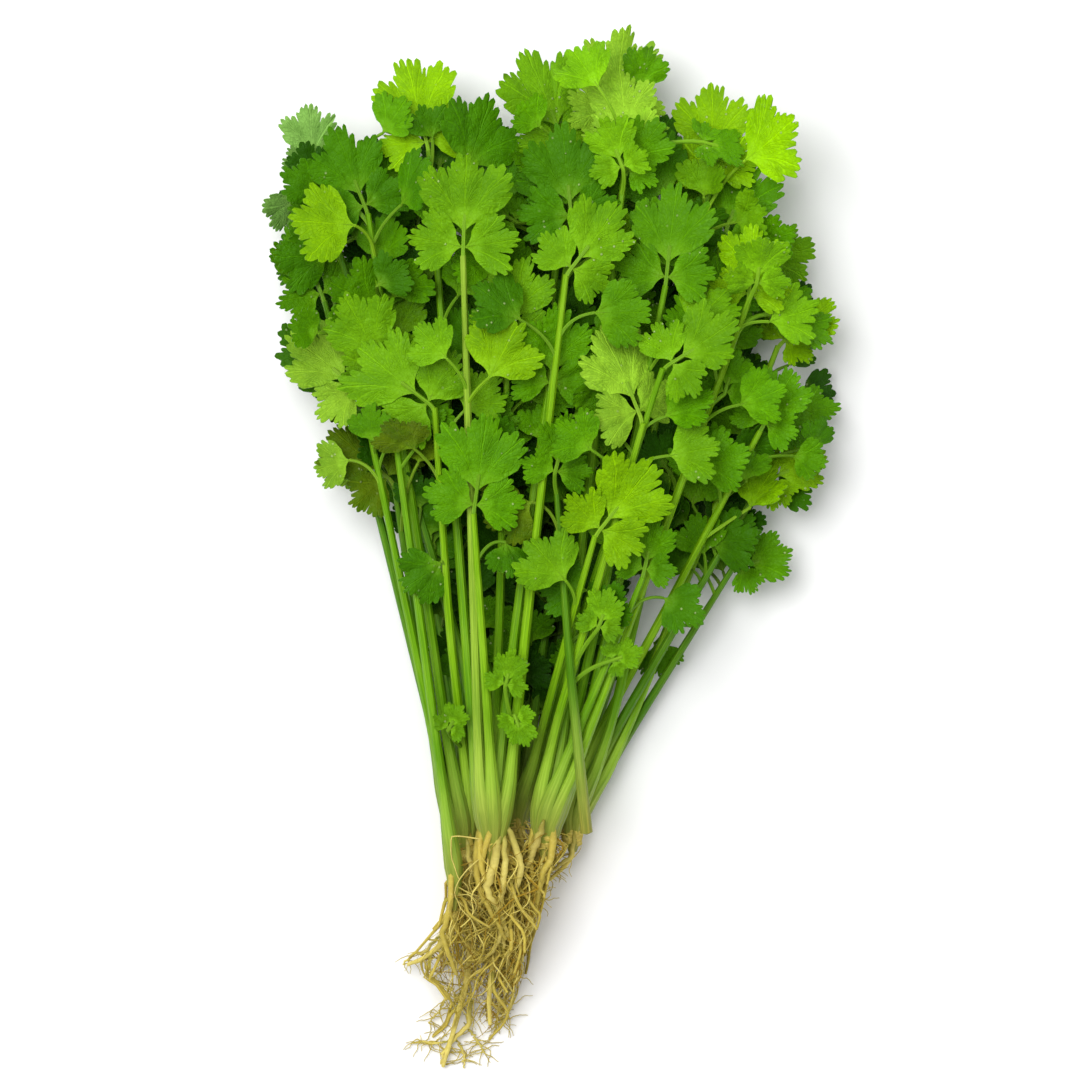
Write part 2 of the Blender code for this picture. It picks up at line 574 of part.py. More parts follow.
def keep_one_body(mesh):
    """Fills the hollows that a union sealed and drops loose scraps: only the largest connected body stays."""
    body = bmesh.new()
    body.from_mesh(mesh)
    unseen = set(body.verts)
    groups = []
    while unseen:
        group = {unseen.pop()}
        edge = set(group)
        while edge:
            edge = {e.other_vert(v) for v in edge for e in v.link_edges} - group
            group |= edge
        unseen -= group
        groups.append(group)
    largest = max(groups, key=len)
    for group in groups:
        if group is not largest:
            bmesh.ops.delete(body, geom=list(group), context="VERTS")
    bmesh.ops.triangulate(body, faces=body.faces)
    body.to_mesh(mesh)
    body.free()


def closed(mesh):
    """Whether every edge of a mesh has a face on each side of it."""
    sides = {}
    for face in mesh.polygons:
        for key in face.edge_keys:
            sides[key] = sides.get(key, 0) + 1
    return all(count == 2 for count in sides.values())


def fused(name, meshes, made):
    """One solid from meshes that are sunk into each other: a union, applied, with its helpers removed."""
    body = mesh_object(name, *meshes[0])
    bpy.context.scene.collection.objects.link(body)
    helpers = bpy.data.collections.new(name + "_repeats")
    bpy.context.scene.collection.children.link(helpers)
    for i, (corners, faces) in enumerate(meshes[1:]):
        helpers.objects.link(mesh_object(f"{name}_repeat_{i}", corners, faces))
    union = body.modifiers.new("join", "BOOLEAN")
    union.operation = "UNION"
    union.operand_type = "COLLECTION"
    union.collection = helpers
    # The second solver is for the few stems that the first one leaves open.
    for solver in ("EXACT", "MANIFOLD"):
        union.solver = solver
        joined = bpy.data.meshes.new_from_object(body.evaluated_get(bpy.context.evaluated_depsgraph_get()))
        if closed(joined):
            break
    body.modifiers.remove(union)
    body.data = joined
    for helper in list(helpers.objects):
        bpy.data.objects.remove(helper)
    bpy.data.collections.remove(helpers)
    keep_one_body(joined)
    joined.materials.clear()
    joined.materials.append(made)


def stem_mesh(line):
    """A stem's round stalk, from its foot on the crown to its tip."""
    radii = [stem_radius(i / (len(line) - 1)) for i in range(len(line))]
    radii[0] = STEM_FOOT_RADIUS
    return tube(line, radii, STEM_SIDES, foot_along=Vector((0, 1, 0)))


def main():
    for obj in list(bpy.data.objects):
        bpy.data.objects.remove(obj)
    stems = route_stems()
    obstacles = Obstacles()
    stalks = [stem_mesh(line) for line in stems]
    for k, mesh in enumerate(stalks):
        obstacles.add((k, "stalk"), *mesh)
    roots = place_roots(obstacles)
    poses = place_leaves(stems, obstacles)
    top = max(line[-1].z for line in stems)
    for k, stalk in enumerate(stalks):
        name = f"leafy_stem_{k + 1:02d}"
        leaves = [leaf_mesh(thickness=BLADE_THICKNESS, **pose) for pose in poses[k]]
        colour = DEEP_GREEN.lerp(BRIGHT_GREEN, stems[k][-1].z / top)
        fused(name, [stalk, *leaves], finish(name + "_green", colour, LEAF_ROUGHNESS))
    for plant, meshes in roots.items():
        colour = DARK_ROOT.lerp(PALE_ROOT, CROWNS[plant][2] / top)
        fused(f"root_{plant}", meshes, finish(f"root_{plant}_brown", colour, ROOT_ROUGHNESS))


main()
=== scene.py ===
"""Coriander bunch with roots, lying on a pale surface: the looks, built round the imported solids."""

import math
import random

import bpy
import numpy as np
from mathutils import Matrix, Vector
from mathutils.bvhtree import BVHTree


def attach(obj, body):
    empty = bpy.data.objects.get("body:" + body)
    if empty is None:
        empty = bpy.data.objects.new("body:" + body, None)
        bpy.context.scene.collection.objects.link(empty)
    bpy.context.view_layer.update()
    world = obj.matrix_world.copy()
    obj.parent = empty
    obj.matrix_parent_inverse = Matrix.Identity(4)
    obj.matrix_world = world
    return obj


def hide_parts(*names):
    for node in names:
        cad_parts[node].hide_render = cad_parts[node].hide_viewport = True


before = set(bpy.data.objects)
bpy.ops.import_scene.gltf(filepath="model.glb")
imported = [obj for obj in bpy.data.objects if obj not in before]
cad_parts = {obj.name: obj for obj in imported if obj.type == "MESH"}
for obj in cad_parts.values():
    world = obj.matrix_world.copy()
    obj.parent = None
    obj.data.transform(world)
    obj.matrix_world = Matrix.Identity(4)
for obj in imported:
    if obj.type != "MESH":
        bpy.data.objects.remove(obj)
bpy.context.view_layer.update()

# Stalks
# The long round stalks of whole young plants, soft and juicy, with fine ribs along them. They stand on their
# plant's crown, pale and swollen where they clasp each other, and fan out and turn green towards the leaves.
# They run as the solids do, so the table and the route are the ones of the solids, in millimetres.

MM = 0.001
STEM_FOOT_RADIUS = 1.75
STEM_RADIUS = 1.6
STEM_TIP_RADIUS = 0.85
STEM_BEND_EVERY = 30
STEM_SIDES = 5
STEM_GAP = 0.9
STEM_FLOOR = 1.5
LEVEL_STEP = 6
ROUTE_TURNS = 600
ROUTE_SMOOTHING = 0.02
CROWN_SLOT_RING = 4.0
CROWN_RING_PLACES = 6

# Each plant's crown, where its stems meet its root. The last one is a single cut stem with no root.
CROWNS = {
    "left": (-29, -89, 12),
    "front": (-19, -87, 27),
    "middle": (-12, -82, 9),
    "right": (-2, -86, 25),
    "far_right": (6, -84, 11),
    "low_left": (-31, -102, 25),
    "cut": (10.5, -88, 31),
}

# Each leafy stem: its plant, the points it passes through, and the leaf on its tip as heading, length, pitch
# and roll. The last entry lists its side leaves: the y where the stalk leaves the stem, the blade's foot as x
# and y, its rise over the stem there, and its heading and length. A heading is turned from +X towards +Y.
STEMS = [
    ("front", [(-23, -50, 33), (-25, 0, 38), (-26, 45, 45), (-28, 92, 51)], (88, 20, 4, 0),
     [(46, -20, 54, 6, 62, 17), (50, -33, 60, 5, 130, 12)]),
    ("front", [(-20, -50, 34), (-22, -10, 37), (-25, 12, 44)], (82, 19, 10, 8), [(-3, -15, 3, -2, 285, 11)]),
    ("middle", [(-14, -50, 18), (-17, -10, 26), (-16, 40, 34), (-14, 66, 40)], (80, 17, 12, -14),
     [(40, -8, 48, -2, 30, 14), (52, -24, 62, -6, 130, 14)]),
    ("front", [(-14, -50, 23), (-11, -10, 31), (-7, 25, 38), (-1, 50, 43)], (84, 16, 10, 6),
     [(20, -14, 30, -3, 140, 13), (30, 6, 42, 1, 50, 13)]),
    ("cut", [(11, -60, 34), (9, -35, 37), (4, -8, 40), (1, 20, 41)], (96, 13, 6, -10),
     [(4, -6, 16, 2, 205, 15), (-2, 9, 10, 4, 20, 13)]),
    ("left", [(-42, -58, 14), (-45, -25, 17), (-45, 0, 19), (-50, 21, 22)], (128, 17, -8, 14),
     [(6, -43, 24, 4, 80, 15), (2, -52, 26, 2, 165, 12)]),
    ("left", [(-39, -50, 19), (-43, -10, 24), (-50, 30, 28), (-60, 50, 31)], (140, 18, -6, 10),
     [(25, -46, 40, 5, 60, 15), (20, -60, 30, -6, 196, 11)]),
    ("left", [(-34, -50, 25), (-36, -15, 29), (-31, 28, 35), (-37, 45, 41)], (142, 20, 0, -8),
     [(-12, -35, -3, 3, 205, 13), (22, -42, 30, -4, 120, 13), (28, -28, 44, 0, 60, 13)]),
    ("left", [(-36, -40, 18), (-38, 20, 25), (-45, 80, 32), (-58, 106, 34)], (112, 17, 6, 10),
     [(92, -62, 102, 8, 176, 17), (96, -48, 108, 4, 40, 16), (64, -55, 76, -2, 150, 17)]),
    ("front", [(-28, -50, 25), (-33, 10, 27), (-46, 80, 27), (-75, 119, 23)], (96, 13, 6, 12),
     [(104, -80, 112, -2, 205, 13), (84, -70, 94, 1, 186, 15), (50, -48, 66, 2, 120, 16)]),
    ("front", [(-24, -40, 27), (-32, 20, 30), (-38, 80, 34), (-39, 126, 31)], (104, 19, -4, 4),
     [(108, -27, 120, 3, 72, 20), (96, -46, 112, 1, 130, 15), (70, -30, 80, 4, 60, 15)]),
    ("middle", [(-6, -40, 15), (0, 10, 22), (9, 70, 28), (19, 136, 24)], (84, 18, -6, 4),
     [(112, 6, 124, 2, 112, 17), (104, 28, 120, -2, 60, 17), (60, 20, 72, 2, 50, 16)]),
    ("right", [(4, -40, 29), (9, 10, 38), (15, 60, 44), (23, 126, 41)], (94, 16, -5, -6),
     [(96, 8, 108, 2, 120, 19), (80, 28, 92, 3, 48, 17)]),
    ("middle", [(-10, -40, 12), (-6, 20, 18), (0, 80, 26), (4, 127, 27)], (112, 20, 0, 10),
     [(96, -12, 108, 4, 135, 18), (70, -9, 84, 0, 140, 15), (88, 12, 100, -4, 45, 14)]),
    ("right", [(13, -40, 29), (25, 10, 34), (39, 65, 35), (50, 118, 29)], (90, 18, -6, -4),
     [(100, 59, 122, 2, 34, 19), (88, 38, 112, 2, 112, 17), (60, 50, 76, 5, 48, 15)]),
    ("right", [(14, -40, 33), (28, 5, 38), (48, 40, 41), (61, 78, 38)], (86, 15, 6, -4),
     [(40, 58, 46, 3, 20, 13), (52, 46, 66, 2, 110, 15), (20, 46, 26, 0, 20, 14)]),
    ("far_right", [(24, -50, 14), (40, -15, 17), (58, 18, 19), (71, 65, 20)], (40, 13, -4, -10),
     [(36, 77, 44, -2, 20, 13), (20, 60, 36, 6, 100, 14)]),
    ("far_right", [(22, -50, 17), (38, -15, 21), (54, 8, 26), (65, 38, 30)], (60, 14, 0, -12),
     [(14, 50, 24, 4, 118, 15), (4, 62, 14, -2, 60, 12)]),
    ("far_right", [(16, -50, 20), (30, -20, 21), (49, 6, 20), (66, 22, 17)], (24, 13, -4, -14),
     [(-2, 44, 14, 4, 80, 16), (8, 59, 5, -6, 320, 11)]),
    ("far_right", [(20, -50, 12), (33, -22, 13), (45, -10, 13), (57, -5, 13)], (14, 12, 0, -8),
     [(-24, 31, -27, 4, 300, 10), (-14, 42, 0, 2, 96, 13)]),
    ("middle", [(0, -45, 24), (8, -15, 36), (13, 5, 46)], (52, 18, 8, 8),
     [(-18, 4, -9, 6, 130, 15), (-30, 12, -24, -6, 40, 12)]),
    ("right", [(10, -45, 33), (20, -22, 37), (28, -8, 39)], (78, 12, 6, -10),
     [(-24, 14, -14, 5, 150, 14), (-20, 34, -14, -5, 330, 12)]),
    ("right", [(5, -45, 31), (15, 0, 40), (24, 25, 47), (28, 40, 50)], (112, 19, 6, 12),
     [(18, 14, 30, 1, 140, 13), (24, 36, 30, 0, 10, 14)]),
    ("middle", [(-4, -45, 17), (6, 0, 28), (22, 40, 40), (34, 57, 52)], (32, 16, 6, -14),
     [(30, 10, 44, -2, 130, 14), (38, 34, 42, -2, 10, 14)]),
    ("front", [(-16, -45, 38), (-12, 0, 48), (-6, 45, 53), (4, 86, 53)], (52, 17, 0, 10),
     [(60, -10, 72, 2, 130, 15), (66, 12, 74, 1, 20, 15)]),
    ("right", [(7, -40, 26), (18, 10, 33), (28, 50, 40), (35, 83, 45)], (84, 19, 4, -8),
     [(46, 20, 56, 2, 124, 16), (56, 42, 68, 0, 60, 15)]),
    ("front", [(-18, -40, 24), (-14, 20, 32), (-6, 70, 38), (6, 102, 43)], (96, 19, 2, 4),
     [(74, -16, 88, 1, 150, 15), (84, 16, 92, 2, 30, 14)]),
    ("far_right", [(28, -45, 19), (44, -5, 23), (50, 50, 27), (53, 97, 25)], (70, 17, 4, -14),
     [(76, 66, 92, -4, 18, 15), (60, 42, 84, 3, 110, 16)]),
    ("left", [(-42, -55, 10), (-46, -10, 13), (-54, 40, 18), (-72, 79, 21)], (112, 17, 0, 14),
     [(60, -76, 92, 0, 178, 15), (50, -58, 64, 3, 80, 12), (26, -62, 47, -3, 160, 12)]),
    ("low_left", [(-38, -80, 24), (-43, -45, 26), (-44, 5, 26), (-52, 56, 34)], (118, 17, 8, 8),
     [(26, -38, 38, 2, 70, 11), (38, -60, 62, -3, 150, 14)]),
    # The stems that lie lowest, with some of their leaves spread on the surface.
    ("left", [(-34, -45, 7), (-38, 5, 6), (-46, 50, 6), (-52, 92, 6)], (108, 18, -6, 6),
     [(40, -58, 52, -8, 140, 18), (60, -36, 76, 1, 60, 17)]),
    ("left", [(-28, -45, 10), (-26, 10, 10), (-24, 60, 11), (-22, 108, 12)], (100, 19, -6, -6),
     [(50, -32, 66, 2, 120, 16), (70, -12, 84, 1, 50, 16)]),
    ("middle", [(-12, -45, 6), (-6, 10, 6), (0, 60, 8), (4, 100, 10)], (86, 19, -4, 6),
     [(-16, -2, -9, -8, 84, 19), (50, -14, 66, 3, 130, 16), (64, 12, 76, 1, 50, 15)]),
    ("right", [(8, -45, 12), (16, 10, 10), (26, 60, 10), (32, 108, 12)], (80, 19, -6, -4),
     [(54, 18, 70, 1, 120, 16), (66, 44, 78, 2, 50, 17)]),
    ("far_right", [(20, -45, 7), (34, 0, 6), (46, 40, 7), (56, 74, 8)], (80, 19, -4, -8),
     [(20, 34, 34, 1, 110, 17), (30, 58, 42, -8, 30, 19)]),
    ("middle", [(-14, -45, 10), (-22, 0, 14), (-34, 30, 15), (-42, 48, 16)], (112, 17, 0, 8),
     [(4, -20, 20, 2, 80, 15), (12, -42, 20, -3, 160, 13)]),
]


def smooth_line(points, shares):
    """Points at these shares of a smooth curve through the given ones, by Catmull and Rom's formula."""
    through = [2 * points[0] - points[1], *points, 2 * points[-1] - points[-2]]
    spans = len(points) - 1
    line = []
    for share in shares:
        place = min(share * spans, spans - 1e-9)
        i = int(place)
        t = place - i
        a, b, c, d = through[i : i + 4]
        line.append(0.5 * (2 * b + (c - a) * t + (2 * a - 5 * b + 4 * c - d) * t**2
                           + (3 * b - a - 3 * c + d) * t**3))
    return line


def stem_radius(share):
    """A stem's radius at a share of its length: broad at the foot, slim at the tip."""
    return STEM_RADIUS + (STEM_TIP_RADIUS - STEM_RADIUS) * share**1.3


def crown_slots(plant, members):
    """Where a plant's stems stand on its crown: one in the middle, a ring round it turned to suit them."""
    x, _, z = CROWNS[plant]
    lean = {k: Vector((STEMS[k][1][0][0] - x, STEMS[k][1][0][2] - z)) for k in members}
    inner = min(members, key=lambda k: lean[k].length)
    outer = sorted((k for k in members if k != inner), key=lambda k: math.atan2(lean[k].y, lean[k].x))

    def ring(turn):
        step = math.tau / max(len(outer), CROWN_RING_PLACES)
        angles = [turn + step * place for place in range(len(outer))]
        return [CROWN_SLOT_RING * Vector((math.cos(a), math.sin(a))) for a in angles]

    turns = [math.tau * step / 36 for step in range(36)]
    best = max(turns, key=lambda turn: sum(spot.dot(lean[k]) for spot, k in zip(ring(turn), outer)))
    slots = {k: (x + spot.x, z + spot.y) for spot, k in zip(ring(best), outer)}
    slots[inner] = (x, z)
    return slots


def route_stems():
    """Every stem as a line of straight runs, its bends pushed apart until no two stems touch at any level."""
    levels = np.arange(-108, 157, LEVEL_STEP)
    slots = {}
    for plant in CROWNS:
        slots.update(crown_slots(plant, [k for k, stem in enumerate(STEMS) if stem[0] == plant]))
    heights, bends, shares = [], [], []
    alive = np.zeros((len(STEMS), len(levels)), bool)
    radius = np.zeros((len(STEMS), len(levels)))
    for k, (plant, through, _, _) in enumerate(STEMS):
        low, high = CROWNS[plant][1], through[-1][1]
        path = [Vector((slots[k][0], low, slots[k][1]))] + [Vector(p) for p in through]
        line = np.array(smooth_line(path, np.linspace(0, 1, 80)))
        runs = max(2, round((high - low) / STEM_BEND_EVERY))
        bend_y = np.linspace(low, high, runs + 1)
        heights.append(bend_y)
        bends.append(np.array([[np.interp(y, line[:, 1], line[:, a]) for a in (0, 2)] for y in bend_y]))
        alive[k] = (levels >= low - LEVEL_STEP) & (levels <= high + LEVEL_STEP)
        radius[k] = [stem_radius(share) for share in np.clip((levels - low) / (high - low), 0, 1)]
        # Each level's share of each bend: 1 at the bend, down to 0 at the bends next to it.
        shares.append(np.array([np.interp(levels, bend_y, row) for row in np.eye(runs + 1)]).T)
    for _ in range(ROUTE_TURNS):
        place = np.array([share @ bend for share, bend in zip(shares, bends)])
        apart = place[:, None] - place[None]
        distance = np.hypot(apart[..., 0], apart[..., 1]) + 1e-6
        push = np.clip(radius[:, None] + radius[None] + STEM_GAP - distance, 0, None)
        push *= alive[:, None] & alive[None] & ~np.eye(len(STEMS), dtype=bool)[..., None]
        shift = (apart / distance[..., None] * push[..., None]).sum(1)
        for k, (share, bend) in enumerate(zip(shares, bends)):
            bend[1:] += (share.T @ shift[k])[1:] / share.sum(0)[1:, None]
            bend[1:-1] += ROUTE_SMOOTHING * (bend[:-2] + bend[2:] - 2 * bend[1:-1])
            bend[:, 1] = np.maximum(bend[:, 1], STEM_RADIUS + STEM_FLOOR)
    return [
        [Vector((x, y, z)) for y, (x, z) in zip(bend_y, bend)] for bend_y, bend in zip(heights, bends)
    ]


def at_level(line, y):
    """The point of a stem's line at this y."""
    y = min(max(y, line[0].y), line[-1].y)
    i = min(int((y - line[0].y) / (line[1].y - line[0].y)), len(line) - 2)
    return line[i].lerp(line[i + 1], (y - line[i].y) / (line[i + 1].y - line[i].y))


stems = route_stems()


def paint(red, green, blue):
    """A colour given as a paint chart gives it, from 0 to 255, in linear light."""
    shares = [part / 255 for part in (red, green, blue)]
    return np.array([((share + 0.055) / 1.055) ** 2.4 if share > 0.04 else share / 12.92 for share in shares])


SHARP_ANGLE = 45
END_DOME = 0.4


class Skin:
    """The surfaces of one piece, gathered before they become its mesh."""

    def __init__(self):
        self.points, self.faces, self.places, self.tints, self.kinds = [], [], [], [], []
        self.count = 0

    def add(self, points, faces, places, tints, kind):
        """Adds triangles, with each corner's place on the surface, each point's tint and their material."""
        self.points.append(points)
        self.faces.append(faces + self.count)
        self.places.append(places)
        self.tints.append(tints)
        self.kinds.append(np.full(len(faces), kind))
        self.count += len(points)

    def piece(self, name, materials):
        """One smooth-shaded object at the origin, whose sharpest edges stay sharp."""
        mesh = bpy.data.meshes.new(name)
        mesh.from_pydata(np.concatenate(self.points) * MM, [], np.concatenate(self.faces))
        mesh.uv_layers.new(name="place").data.foreach_set("uv", np.concatenate(self.places).ravel())
        tint = mesh.attributes.new("tint", "FLOAT_COLOR", "POINT")
        colours = np.concatenate(self.tints)
        tint.data.foreach_set("color", np.column_stack([colours, np.ones(len(colours))]).ravel())
        for made in materials:
            mesh.materials.append(made)
        mesh.polygons.foreach_set("material_index", np.concatenate(self.kinds))
        mesh.polygons.foreach_set("use_smooth", np.ones(len(mesh.polygons), bool))
        mesh.set_sharp_from_angle(angle=math.radians(SHARP_ANGLE))
        made_object = bpy.data.objects.new(name, mesh)
        bpy.context.scene.collection.objects.link(made_object)
        return made_object


def distance_gone(points):
    """How far along its line each point lies."""
    return np.concatenate([[0], np.cumsum(np.linalg.norm(np.diff(points, axis=0), axis=1))])


def add_bar(skin, points, radii, tints, kind, sides=8, ribs=0, rib_depth=0.0, rough=1):
    """A closed round bar along the points, with ribs along it and its place told round and along it."""
    points, radii = np.asarray(points, float), np.asarray(radii, float)
    rows = len(points)
    along = np.gradient(points, axis=0)
    along /= np.linalg.norm(along, axis=1)[:, None]
    gone = distance_gone(points)
    side = np.array([1.0, 0.0, 0.0]) if abs(along[0][0]) < 0.9 else np.array([0.0, 0.0, 1.0])
    angles = math.tau * np.arange(sides) / sides
    bulge = np.broadcast_to((1 + rib_depth * np.cos(ribs * angles)) * rough, (rows, sides))
    corners = []
    for row in range(rows):
        side = side - along[row] * side.dot(along[row])
        side /= np.linalg.norm(side)
        other = np.cross(along[row], side)
        ring = np.cos(angles)[:, None] * side + np.sin(angles)[:, None] * other
        corners.append(points[row] + ring * (radii[row] * bulge[row])[:, None])
    row, place = (grid.ravel() for grid in np.meshgrid(np.arange(rows - 1), np.arange(sides), indexing="ij"))
    following = (place + 1) % sides
    a, b = row * sides + place, row * sides + following
    c, d = b + sides, a + sides
    u, v = place / sides, gone[row]
    u_next, v_next = (place + 1) / sides, gone[row + 1]
    faces = np.concatenate([np.column_stack([a, b, c]), np.column_stack([a, c, d])])
    places = np.concatenate([
        np.stack([u, v, u_next, v, u_next, v_next], 1).reshape(-1, 3, 2),
        np.stack([u, v, u_next, v_next, u, v_next], 1).reshape(-1, 3, 2),
    ])
    # The two ends are domes of one more point each.
    domes = along[[0, -1]] * radii[[0, -1], None] * END_DOME
    ends = np.array([points[0] - domes[0], points[-1] + domes[1]])
    foot, tip, last = rows * sides, rows * sides + 1, (rows - 1) * sides
    ring = np.arange(sides)
    after = (ring + 1) % sides
    caps = np.concatenate([
        np.column_stack([np.full(sides, foot), after, ring]),
        np.column_stack([np.full(sides, tip), last + ring, last + after]),
    ])
    cap_places = np.zeros((2 * sides, 3, 2))
    cap_places[:, :, 0] = 0.5
    cap_places[sides:, :, 1] = gone[-1]
    tints = np.broadcast_to(tints, (rows, 3))
    skin.add(np.concatenate([*corners, ends]), np.concatenate([faces, caps]),
             np.concatenate([places, cap_places]),
             np.concatenate([np.repeat(tints, sides, 0), tints[:1], tints[-1:]]), kind)


# Each stem's green where it is in full colour, and the stems that have one of their own: those on top are
# painted paler, as painted light where they catch the light, and stems whose tips lie low get the dark green,
# as painted shade.
STALK_GREENS = {
    "pale": paint(152, 190, 52),
    "bright": paint(130, 184, 4),
    "green": paint(108, 165, 0),
    "dark": paint(80, 133, 0),
}
STALK_TONES = {0: "pale", 1: "bright", 3: "green", 4: "dark", 7: "bright", 15: "bright", 16: "bright",
               17: "bright", 20: "bright", 22: "bright", 24: "bright"}
HIGH_TIP = 24
STALK_FOOT = paint(150, 142, 60)
STALK_CLASP = paint(166, 186, 78)
BROWN_LENGTH = 25
PALE_LENGTH = 52
# The leaf sheath swells each stalk over its foot. Under the sheath is a thin neck, drawn in to the crown.
SHEATH_LENGTH = 15
SHEATH_HEIGHT = 14
SHEATH_SWELL = 0.8
NECK_LENGTH = 14
NECK_DRAWN = 0.3
FOOT_DEPTHS = (11, 8.5, 6, 4, 2)
DRAWN_IN = 0.8
DRAWN_LENGTH = 26
CUT_SWELL = 0.15
CUT_SWELL_LENGTH = 30
# Thin stalks on the surface, painted darker than the dark green as painted shade, which close the spaces
# under
# the others: how many, and at each y the x of the leftmost and the rightmost.
LOW_STALKS = 15
LOW_STALK_ENDS = ((-84, -32, 7), (-60, -37, 11), (-30, -41, 18), (0, -43, 22), (24, -47, 26))
LOW_STALK_RADII = (1.35, 1.9)
LOW_STALK_TAPER = (1.1, 0.8)
LOW_STALK_HEIGHTS = (2.0, 5.0)
LOW_STALK_SWAY = 1.2
LOW_STALK_ROWS = 24
LOW_STALK_SHADE = 0.68
STALK_ROWS = 56
STALK_SIDES = 18
STALK_RIBS = 6
STALK_RIB_DEPTH = 0.055


def add_stalk(skin, k, line):
    """A stem's ribbed stalk, which swells and pales over the last stretch above its crown."""
    points = np.array(smooth_line(line, np.linspace(0, 1, STALK_ROWS)))
    plant = STEMS[k][0]
    if plant != "cut":
        # The foot runs on below the crown's top, and the last stretch draws in towards the crown's middle.
        crown = CROWNS[plant]
        sunk = [points[0] - (0, depth, 0) for depth in FOOT_DEPTHS]
        points = np.concatenate([sunk, points])
        drawn = DRAWN_IN * np.clip(1 - (points[:, 1] - sunk[0][1]) / DRAWN_LENGTH, 0, 1) ** 1.3
        points[:, 0] += drawn * (crown[0] - points[:, 0])
        points[:, 2] += drawn * (crown[2] - points[:, 2])
    gone = distance_gone(points)
    sheath = SHEATH_SWELL * np.exp(-((gone - SHEATH_HEIGHT) / SHEATH_LENGTH) ** 2)
    neck = NECK_DRAWN + (1 - NECK_DRAWN) * np.clip(gone / NECK_LENGTH, 0, 1) ** 0.7
    if plant == "cut":
        sheath, neck = CUT_SWELL * np.clip(1 - gone / CUT_SWELL_LENGTH, 0, 1), 1
    radii = np.array([stem_radius(share) for share in gone / gone[-1]]) * (1 + sheath) * neck
    # Stems whose tips lie low are painted the dark green, as painted shade.
    upper = STALK_GREENS[STALK_TONES.get(k, "green" if line[-1].z > HIGH_TIP else "dark")]
    pale = np.clip(1 - gone / PALE_LENGTH, 0, 1)[:, None] ** 1.1
    tints = upper * (1 - pale) + STALK_CLASP * pale
    brown = np.clip(1 - gone / BROWN_LENGTH, 0, 1)[:, None]
    tints = tints * (1 - brown) + STALK_FOOT * brown
    add_bar(skin, points, radii, tints, 1, STALK_SIDES, STALK_RIBS, STALK_RIB_DEPTH)


def low_stalks(stems):
    """The shaded stalks: the stem that each lies beside, its points and its radius."""
    draw = random.Random("low stalks")
    found = []
    for number in range(LOW_STALKS):
        share = number / (LOW_STALKS - 1)
        height = draw.uniform(*LOW_STALK_HEIGHTS)
        points = []
        for y, left, right in LOW_STALK_ENDS:
            sway = draw.uniform(-LOW_STALK_SWAY, LOW_STALK_SWAY)
            points.append(Vector((left + (right - left) * share + sway, y, height)))
        apart = [sum((at_level(line, point.y) - point).length for point in points[:-1]) for line in stems]
        line = smooth_line(points, np.linspace(0, 1, LOW_STALK_ROWS))
        found.append((apart.index(min(apart)), line, draw.uniform(*LOW_STALK_RADII)))
    return found


class Value:
    """One output in a material. Sums on it add the Math nodes that they need."""

    def __init__(self, finish, output):
        self.finish = finish
        self.output = output

    def __add__(self, other):
        return self.finish.math("ADD", self, other)

    def __mul__(self, other):
        return self.finish.math("MULTIPLY", self, other)

    __radd__ = __add__
    __rmul__ = __mul__

    def __sub__(self, other):
        return self.finish.math("SUBTRACT", self, other)

    def __rsub__(self, other):
        return self.finish.math("SUBTRACT", other, self)

    def __truediv__(self, other):
        return self.finish.math("DIVIDE", self, other)

    def __rtruediv__(self, other):
        return self.finish.math("DIVIDE", other, self)

    def within(self, low, high):
        """0 at low, 1 at high, smooth between them and clamped outside."""
        values = {"Value": self, "From Min": low, "From Max": high}
        return self.finish.node("ShaderNodeMapRange", {"interpolation_type": "SMOOTHSTEP"}, values)


